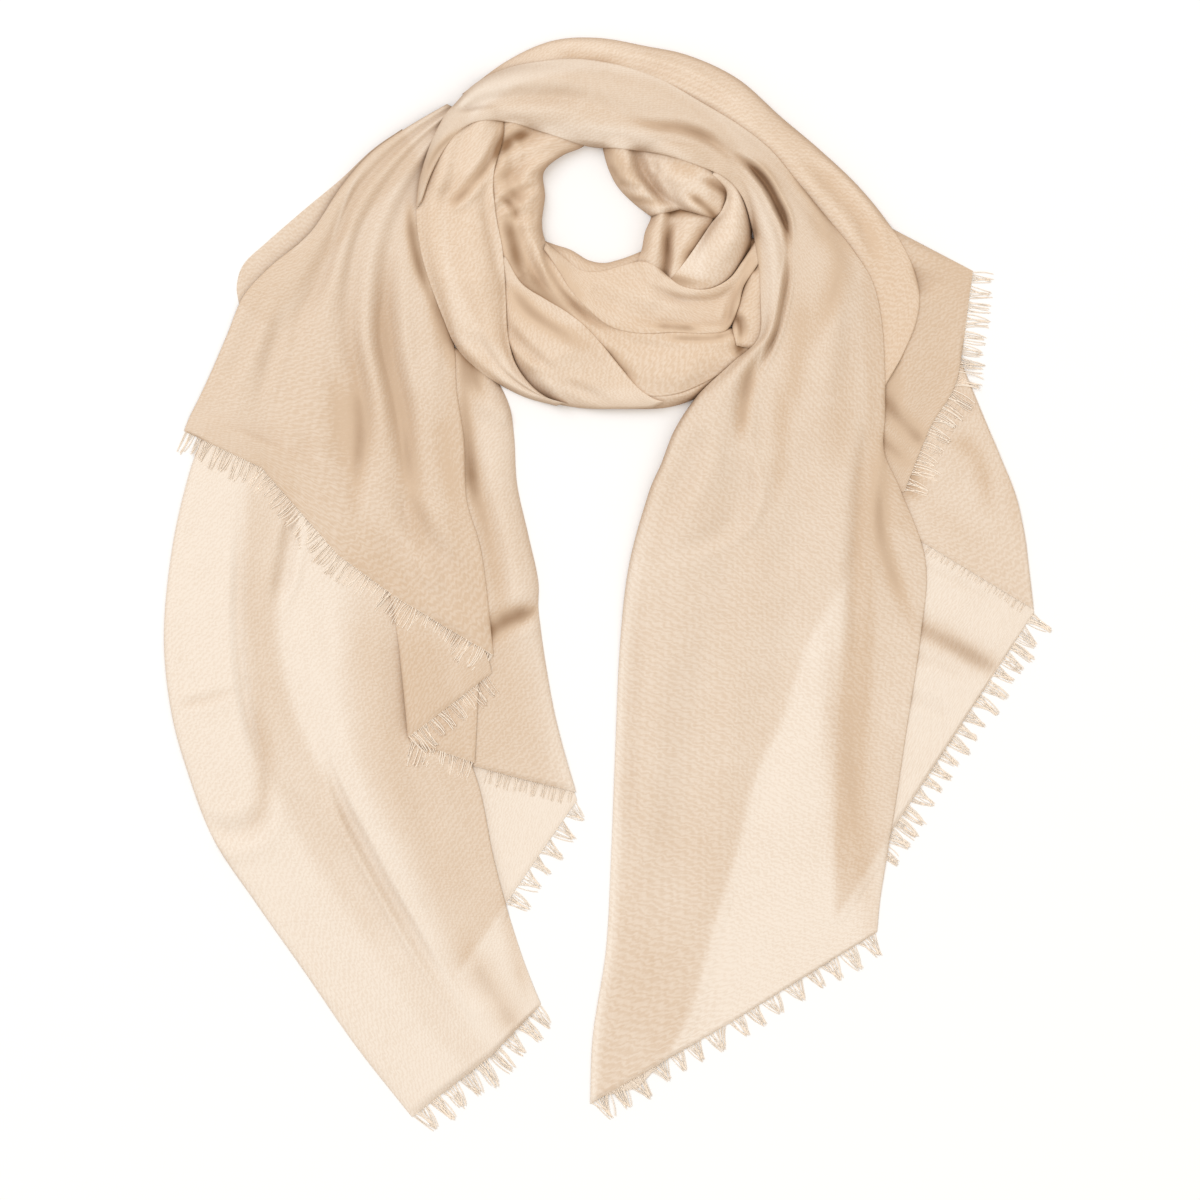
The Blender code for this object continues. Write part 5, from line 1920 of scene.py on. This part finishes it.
class StrandNodes:
    """Geometry Nodes that lay one loose yarn end on each root."""

    NAME = "eyelash_fringe"
    BENDS = (-0.13, 0.02, 0.12)
    MIDDLE = 0.55  # where a strand bends, as a share of its length
    TIP_BEND = 0.3  # how far aside its tip stands, as a share of its bend
    SOCKETS = (
        ("Roots", "INPUT", "NodeSocketGeometry"),
        ("Strand Radius", "INPUT", "NodeSocketFloat"),
        ("Strand Steps", "INPUT", "NodeSocketInt"),
        ("Strand Sides", "INPUT", "NodeSocketInt"),
        ("Seed", "INPUT", "NodeSocketInt"),
        ("Yarn", "INPUT", "NodeSocketMaterial"),
        ("Fringe", "OUTPUT", "NodeSocketGeometry"),
    )

    def __init__(self) -> None:
        """Build the node group."""
        self.tree = bpy.data.node_groups.new(self.NAME, "GeometryNodeTree")
        for name, way, kind in self.SOCKETS:
            self.tree.interface.new_socket(name, in_out=way, socket_type=kind)
        self.chain = NodeChain(self.tree)
        self.given = self.chain.add("NodeGroupInput").outputs
        strands = self.chain.add("GeometryNodeJoinGeometry")
        for bend in reversed(self.BENDS):
            self.chain.link(self.strand(bend), strands.inputs[0])
        self.chain.add("NodeGroupOutput", Fringe=self.lay_on_roots(strands.outputs[0]))

    def attribute(self, name: str) -> Socket:
        """Read a vector attribute of the roots."""
        kind, settings = "GeometryNodeInputNamedAttribute", {"data_type": "FLOAT_VECTOR"}
        return self.chain.add(kind, settings, Name=name).outputs["Attribute"]

    def strand(self, bend: float) -> Socket:
        """One tapering strand, a metre long, as an instance.

        Args:
            bend: How far its middle stands aside, as a share of its length.

        Returns:
            The strand's geometry socket.
        """
        line = self.chain.add(
            "GeometryNodeCurveQuadraticBezier",
            Resolution=self.given["Strand Steps"],
            Start=(0, 0, 0),
            Middle=(bend, 0, self.MIDDLE),
            End=(bend * self.TIP_BEND, 0, 1),
        )
        circle = self.chain.add(
            "GeometryNodeCurvePrimitiveCircle",
            {"mode": "RADIUS"},
            Resolution=self.given["Strand Sides"],
            Radius=self.given["Strand Radius"],
        )
        share = self.chain.add("GeometryNodeSplineParameter").outputs["Factor"]
        taper = self.chain.add("ShaderNodeMapRange", Value=share, To_Min=1.0, To_Max=STRAND_TIP)
        spine = self.chain.add(
            "GeometryNodeSetCurveRadius", Curve=line.outputs[0], Radius=taper.outputs[0]
        )
        sweep = self.chain.add(
            "GeometryNodeCurveToMesh", Curve=spine.outputs[0], Profile_Curve=circle.outputs[0]
        )
        return self.chain.add("GeometryNodeGeometryToInstance", _0=sweep.outputs[0]).outputs[0]

    def lay_on_roots(self, strands: Socket) -> Socket:
        """Put a strand on each root, turned along its reach and scaled to it.

        Args:
            strands: The strands to pick from.

        Returns:
            The whole fringe's geometry socket.
        """
        align = "FunctionNodeAlignRotationToVector"
        reach = self.attribute("reach")
        along = self.chain.add(align, {"axis": "Z"}, Vector=reach)
        level = self.chain.add(
            align,
            {"axis": "X", "pivot_axis": "Z"},
            Rotation=along.outputs[0],
            Vector=self.attribute("side"),
        )
        length = self.chain.add("ShaderNodeVectorMath", {"operation": "LENGTH"}, _0=reach)
        pick = self.chain.add(
            "FunctionNodeRandomValue", {"data_type": "INT"}, Seed=self.given["Seed"]
        )
        low, high = [s for s in pick.inputs if s.name in ("Min", "Max") and s.type == "INT"]
        low.default_value, high.default_value = 0, len(self.BENDS) - 1
        place = self.chain.add(
            "GeometryNodeInstanceOnPoints",
            Points=self.given["Roots"],
            Instance=strands,
            Pick_Instance=True,
            Instance_Index=[s for s in pick.outputs if s.type == "INT"][0],
            Rotation=level.outputs[0],
            Scale=length.outputs["Value"],
        )
        real = self.chain.add("GeometryNodeRealizeInstances", _0=place.outputs[0]).outputs[0]
        yarn = self.given["Yarn"]
        return self.chain.add("GeometryNodeSetMaterial", Geometry=real, Material=yarn).outputs[0]

    def grow(self, name: str, roots: bpy.types.Mesh, seed: int) -> bpy.types.Object:
        """Grow one fringe and keep it as a plain mesh.

        Args:
            name: Name of the fringe.
            roots: Its roots, with the attributes reach and side.
            seed: Which strand goes where.

        Returns:
            The fringe's object.
        """
        holder = bpy.data.objects.new(name + "_roots", roots)
        bpy.context.scene.collection.objects.link(holder)
        modifier = holder.modifiers.new("fringe", "NODES")
        modifier.node_group = self.tree
        values = {
            "Strand Radius": STRAND_RADIUS / STRAND_LENGTH,
            "Strand Steps": STRAND_STEPS,
            "Strand Sides": STRAND_SIDES,
            "Seed": seed,
            "Yarn": FRINGE_FINISH.material(),
        }
        for socket in self.tree.interface.items_tree:
            if socket.name in values:
                modifier[socket.identifier] = values[socket.name]
        graph = bpy.context.evaluated_depsgraph_get()
        grown = bpy.data.meshes.new_from_object(holder.evaluated_get(graph), depsgraph=graph)
        bpy.data.objects.remove(holder, do_unlink=True)
        bpy.data.meshes.remove(roots)
        grown.name = name
        grown.shade_smooth()
        item = bpy.data.objects.new(name, grown)
        bpy.context.scene.collection.objects.link(item)
        return item


@dataclass
class FringeMaker:
    """Turns the borders of laid sheets into fringes.

    Attributes:
        loom: The loom that laid the sheets.
        nodes: The nodes that grow strands.
        seed: Seed of the next fringe.
    """

    loom: Loom
    nodes: StrandNodes = field(default_factory=StrandNodes)
    seed: int = 11

    def make(self, sheet: Sheet, tufts: Tufts, name: str) -> bpy.types.Object:
        """Make one fringe.

        Args:
            sheet: The sheet that it hangs from.
            tufts: How it hangs.
            name: Name of its object.

        Returns:
            The fringe's object.
        """
        self.seed += 1
        rng = np.random.default_rng(self.seed)
        edge, inner = sheet.border(tufts.side)
        places = travelled(edge)
        first, last = tufts.start * places[-1], tufts.end * places[-1]
        pitch = tufts.pitch * PLAN_UNIT
        count = max(1, round((last - first) / pitch))
        bounds = np.linspace(first, last, count + 1)
        bounds[1:-1] += rng.uniform(-TUFT_STRAY, TUFT_STRAY, count - 1) * pitch
        grown = [
            self.tuft((edge, inner, places), tufts, low, high, rng)
            for low, high in zip(bounds[:-1], bounds[1:])
        ]
        root, reach, side = (np.concatenate(part) for part in zip(*grown))
        root[:, 2] = np.maximum(root[:, 2], FLOOR_GAP)
        tip = root + reach
        support = self.loom.relief.support()
        rest = self.loom.relief.read(support, tip) + TIP_GAP
        tip[:, 2] = np.minimum(rest, root[:, 2])
        mesh = bpy.data.meshes.new(name + "_roots")
        mesh.from_pydata(root.tolist(), [], [])
        for key, values in (("reach", tip - root), ("side", side)):
            attribute = mesh.attributes.new(key, "FLOAT_VECTOR", "POINT")
            attribute.data.foreach_set("vector", values.ravel())
        return self.nodes.grow(name, mesh, self.seed)

    def tuft(
        self,
        border: tuple[np.ndarray, np.ndarray, np.ndarray],
        tufts: Tufts,
        low: float,
        high: float,
        rng: np.random.Generator,
    ) -> tuple[np.ndarray, np.ndarray, np.ndarray]:
        """Set the roots of one tuft out.

        Args:
            border: Points of the border and of the line beside it, and distances along it.
            tufts: How the fringe hangs.
            low: Distance along the border where the tuft starts.
            high: Distance where it ends.
            rng: What strays and leans are drawn from.

        Returns:
            The strands' roots, their reaches and their side directions.
        """
        edge, inner, places = border
        spots = np.linspace(low, high, tufts.per_tuft + 2)[1:-1]
        stray = rng.uniform(-YARN_STRAY, YARN_STRAY, len(spots))
        spots = spots + stray * (high - low) / tufts.per_tuft
        root = self.at(edge, places, spots)
        onward = self.at(edge, places, spots + EDGE_STEP) - self.at(edge, places, spots - EDGE_STEP)
        tangent = plan_direction(onward)
        outward = plan_direction(root - self.at(inner, places, spots))
        outward -= tangent * (outward * tangent).sum(axis=1, keepdims=True)
        outward = plan_direction(outward)
        length = STRAND_LENGTH * tufts.length * rng.uniform(*TUFT_LENGTHS)
        length = length * rng.uniform(*YARN_LENGTHS, len(spots))
        centre = (low + high) / 2 + rng.uniform(-TUFT_LEAN, TUFT_LEAN) * tufts.pitch * PLAN_UNIT
        slant = tufts.gather * (centre - spots) + tufts.lean * length
        slant = slant + rng.normal(0, YARN_LEAN, len(spots)) * length
        reach = outward * length[:, None] + tangent * slant[:, None]
        side = np.cross(plan_direction(reach), (0.0, 0.0, 1.0))
        return root - outward * ROOT_DEPTH, reach, side

    @staticmethod
    def at(line: np.ndarray, places: np.ndarray, spots: np.ndarray) -> np.ndarray:
        """Points of a border at distances along it."""
        return np.stack([np.interp(spots, places, line[:, axis]) for axis in range(3)], axis=1)


@dataclass
class HiddenTurns:
    """The turns of cloth inside the loop, as one rounded ring.

    Attributes:
        loom: The loom whose relief it raises.
        stations: Plan x and y, half width in plan units and height in millimetres, round it.
        length_cells: Cells round the ring.
        width_cells: Cells across it.
    """

    loom: Loom
    stations: tuple[tuple[float, ...], ...] = (
        (590, 98, 26, 5),
        (524, 108, 20, 5),
        (478, 148, 18, 5),
        (470, 220, 22, 5),
        (484, 290, 20, 4),
        (528, 342, 24, 3),
        (590, 358, 30, 3),
        (660, 348, 32, 3),
        (722, 318, 30, 4),
        (728, 235, 20, 5),
        (720, 160, 20, 5),
        (660, 114, 24, 5),
    )
    length_cells: int = 120
    width_cells: int = 14

    def build(self) -> bpy.types.Object:
        """Make the ring and raise the relief to it.

        Returns:
            The ring's object.
        """
        table = np.array(self.stations + self.stations[:3], float)
        ring = spline(table, np.linspace(0, len(self.stations), self.length_cells + 1))
        x, y = to_world(ring[:, 0], ring[:, 1])
        tangent = np.stack([np.gradient(x), np.gradient(y)], axis=1)
        tangent[0] = tangent[-1] = tangent[0] + tangent[-1]
        tangent /= np.linalg.norm(tangent, axis=1)[:, None]
        angle = np.linspace(0, math.pi, self.width_cells + 1)
        reach = ring[:, 2:3] * PLAN_UNIT * np.cos(angle)
        height = np.maximum(ring[:, 3:4] * MM * np.sin(angle), BARE_FLOOR)
        ring_x, ring_y = x[:, None] + tangent[:, 1:] * reach, y[:, None] - tangent[:, :1] * reach
        face = np.stack([ring_x, ring_y, height], axis=-1)
        self.loom.relief.add(face, np.ones(face.shape[:2]))
        stretch = Stretch("hidden_turns", ("ring_core",), (), (), (), Weight.WOUND)
        item = Loom.mesh_object(stretch, face)
        return dress(item, stretch.stands_for)


def dress(item: bpy.types.Object, stands_for: tuple[str, ...]) -> bpy.types.Object:
    """Fix a finished piece to the shawl's one body.

    Args:
        item: The piece.
        stands_for: The solids that it stands for.

    Returns:
        The piece.
    """
    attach(item, "root")
    if stands_for:
        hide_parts(*stands_for)
    LOG.info("%s: %d faces", item.name, len(item.data.polygons))
    return item


@dataclass
class Layers:
    """Stretches that lie one on another, from the floor up.

    Attributes:
        name: What the layers are, for the log.
        stretches: The stretches in the order in which they lie.
    """

    name: str
    stretches: tuple[Stretch, ...]

    def build(self, loom: Loom, fringes: FringeMaker) -> list[bpy.types.Object]:
        """Lay the stretches and grow their fringes.

        Args:
            loom: Lays the sheets.
            fringes: Grows the fringes.

        Returns:
            Every object made.
        """
        made = []
        for stretch in self.stretches:
            sheet = loom.lay(stretch)
            hung = []
            for index, tufts in enumerate(stretch.tufts):
                label = f"{stretch.name}_fringe_{index}"
                fringe = fringes.make(sheet, tufts, label)
                hung.append(dress(fringe, tufts.stands_for))
            item, below = dress(sheet.item, stretch.stands_for), stretch.rests_on
            made += [sheet.item, *hung]
            loom.laid.append(sheet)
        LOG.info("%s: %d pieces", self.name, len(made))
        return made


LEFT_TAIL = Layers(
    "left tail",
    (
        LEFT_BACK_PANEL,
        LEFT_INNER_STRIP,
        LEFT_TAIL_TURNBACK,
        LEFT_FRONT_TAIL,
        LEFT_CASCADE_BACK,
        LEFT_CASCADE_MIDDLE,
        LEFT_SHOULDER_BACK,
        LEFT_UPPER_PANEL,
    ),
)
RIGHT_BACK = Layers("right back", (RIGHT_BACK_PANEL, RIGHT_BACK_FOLD, RIGHT_UPPER_PANEL))
NECK_LOOP = Layers(
    "neck loop",
    (
        HOLE_RIM_FOLD,
        FRONT_BOTTOM_SWAG,
        INNER_TURN,
        KNOT_INNER_FOLD,
        KNOT_UPPER_FOLD,
        KNOT_SIDE_FOLD,
        KNOT_OUTER_SWAG,
        FRONT_UPPER_SWAG,
        FRONT_LEFT_SWAG,
        RING_LEFT_LOBE,
        ARCH_OUTER_BAND,
    ),
)
RIGHT_FRONT = Layers("right front", (RIGHT_TAIL_TURNBACK, ARCH_MIDDLE_BAND))


@dataclass(frozen=True)
class Lamp:
    """A square area light that faces the shawl.

    Attributes:
        name: Its name.
        place: Where it stands.
        size: Length of its sides.
        watts: Its power.
        tint: Its colour.
    """

    name: str
    place: tuple[float, float, float]
    size: float
    watts: float
    tint: tuple[float, float, float]

    def build(self) -> None:
        """Set the light up."""
        lamp = bpy.data.lights.new(self.name, "AREA")
        lamp.size = self.size
        lamp.energy = self.watts
        lamp.color = self.tint
        item = bpy.data.objects.new(self.name, lamp)
        item.location = self.place
        item.rotation_euler = (-Vector(self.place)).to_track_quat("-Z", "Y").to_euler()
        bpy.context.scene.collection.objects.link(item)


@dataclass
class Studio:
    """The floor, the soft lights and the camera straight above.

    Attributes:
        lamps: The lights.
        floor_reach: Half the side of the floor.
        paper: Colour of the floor.
        paper_roughness: How matt it is.
        sky: Colour of the even light from all round.
        sky_strength: Its strength.
        camera_height: Metres from the floor to the camera.
        sensor: Width of the camera's sensor in millimetres.
    """

    lamps: tuple[Lamp, ...] = (
        Lamp("key", (-4.3, 3.8, 6.3), 5.2, 335, (0.95, 0.99, 1.05)),
        Lamp("fill", (4.5, -1.5, 5.5), 5.0, 105, (1.0, 0.95, 0.88)),
    )
    floor_reach: float = 6.0
    paper: Shade = Shade(0.93, 0.93, 0.93)
    paper_roughness: float = 0.95
    sky: Shade = Shade(1.0, 0.945, 0.885)
    sky_strength: float = 0.72
    camera_height: float = 5.0
    sensor: float = 36.0

    def build(self) -> None:
        """Set the whole studio up."""
        self.floor()
        self.world()
        for lamp in self.lamps:
            lamp.build()
        self.camera()
        bpy.context.scene.view_settings.view_transform = "Standard"

    def floor(self) -> None:
        """A plain pale floor."""
        mesh = bpy.data.meshes.new("floor")
        half = self.floor_reach
        corners = ((-half, -half, 0), (half, -half, 0), (half, half, 0), (-half, half, 0))
        mesh.from_pydata(corners, [], [(0, 1, 2, 3)])
        paper = bpy.data.materials.new("floor_paper")
        paper.use_nodes = True
        shader = paper.node_tree.nodes["Principled BSDF"]
        shader.inputs["Base Color"].default_value = self.paper.rgba()
        shader.inputs["Roughness"].default_value = self.paper_roughness
        shader.inputs["Specular IOR Level"].default_value = 0.0
        mesh.materials.append(paper)
        floor = bpy.data.objects.new("floor", mesh)
        bpy.context.scene.collection.objects.link(floor)
        floor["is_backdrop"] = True

    def world(self) -> None:
        """Even light from all round."""
        world = bpy.data.worlds.new("studio")
        world.use_nodes = True
        background = world.node_tree.nodes["Background"]
        background.inputs["Color"].default_value = self.sky.rgba()
        background.inputs["Strength"].default_value = self.sky_strength
        bpy.context.scene.world = world

    def camera(self) -> None:
        """A long lens straight above the middle of the view."""
        x, y = to_world(*FRAME_CENTRE)
        lens = bpy.data.cameras.new("camera")
        lens.sensor_width = self.sensor
        lens.lens = self.sensor * self.camera_height / (FRAME_WIDTH * PLAN_UNIT)
        item = bpy.data.objects.new("camera", lens)
        item.location = (float(x), float(y), self.camera_height)
        bpy.context.scene.collection.objects.link(item)
        bpy.context.scene.camera = item


def box_numbers() -> list[list[float]]:
    """The shown object's box as plain numbers."""
    return [list(corner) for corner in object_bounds()]


def main() -> None:
    """Lay the whole shawl, from the floor up, and set the studio up round it."""
    logging.basicConfig(level=logging.INFO, format="%(name)s: %(message)s")
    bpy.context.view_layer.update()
    Studio().build()
    loom = Loom()
    fringes = FringeMaker(loom)
    LEFT_TAIL.build(loom, fringes)
    RIGHT_BACK.build(loom, fringes)
    HiddenTurns(loom).build()
    NECK_LOOP.build(loom, fringes)
    RIGHT_FRONT.build(loom, fringes)
    loom.shade()
    LOG.info("box %s", box_numbers())


if __name__ == "__main__":
    main()
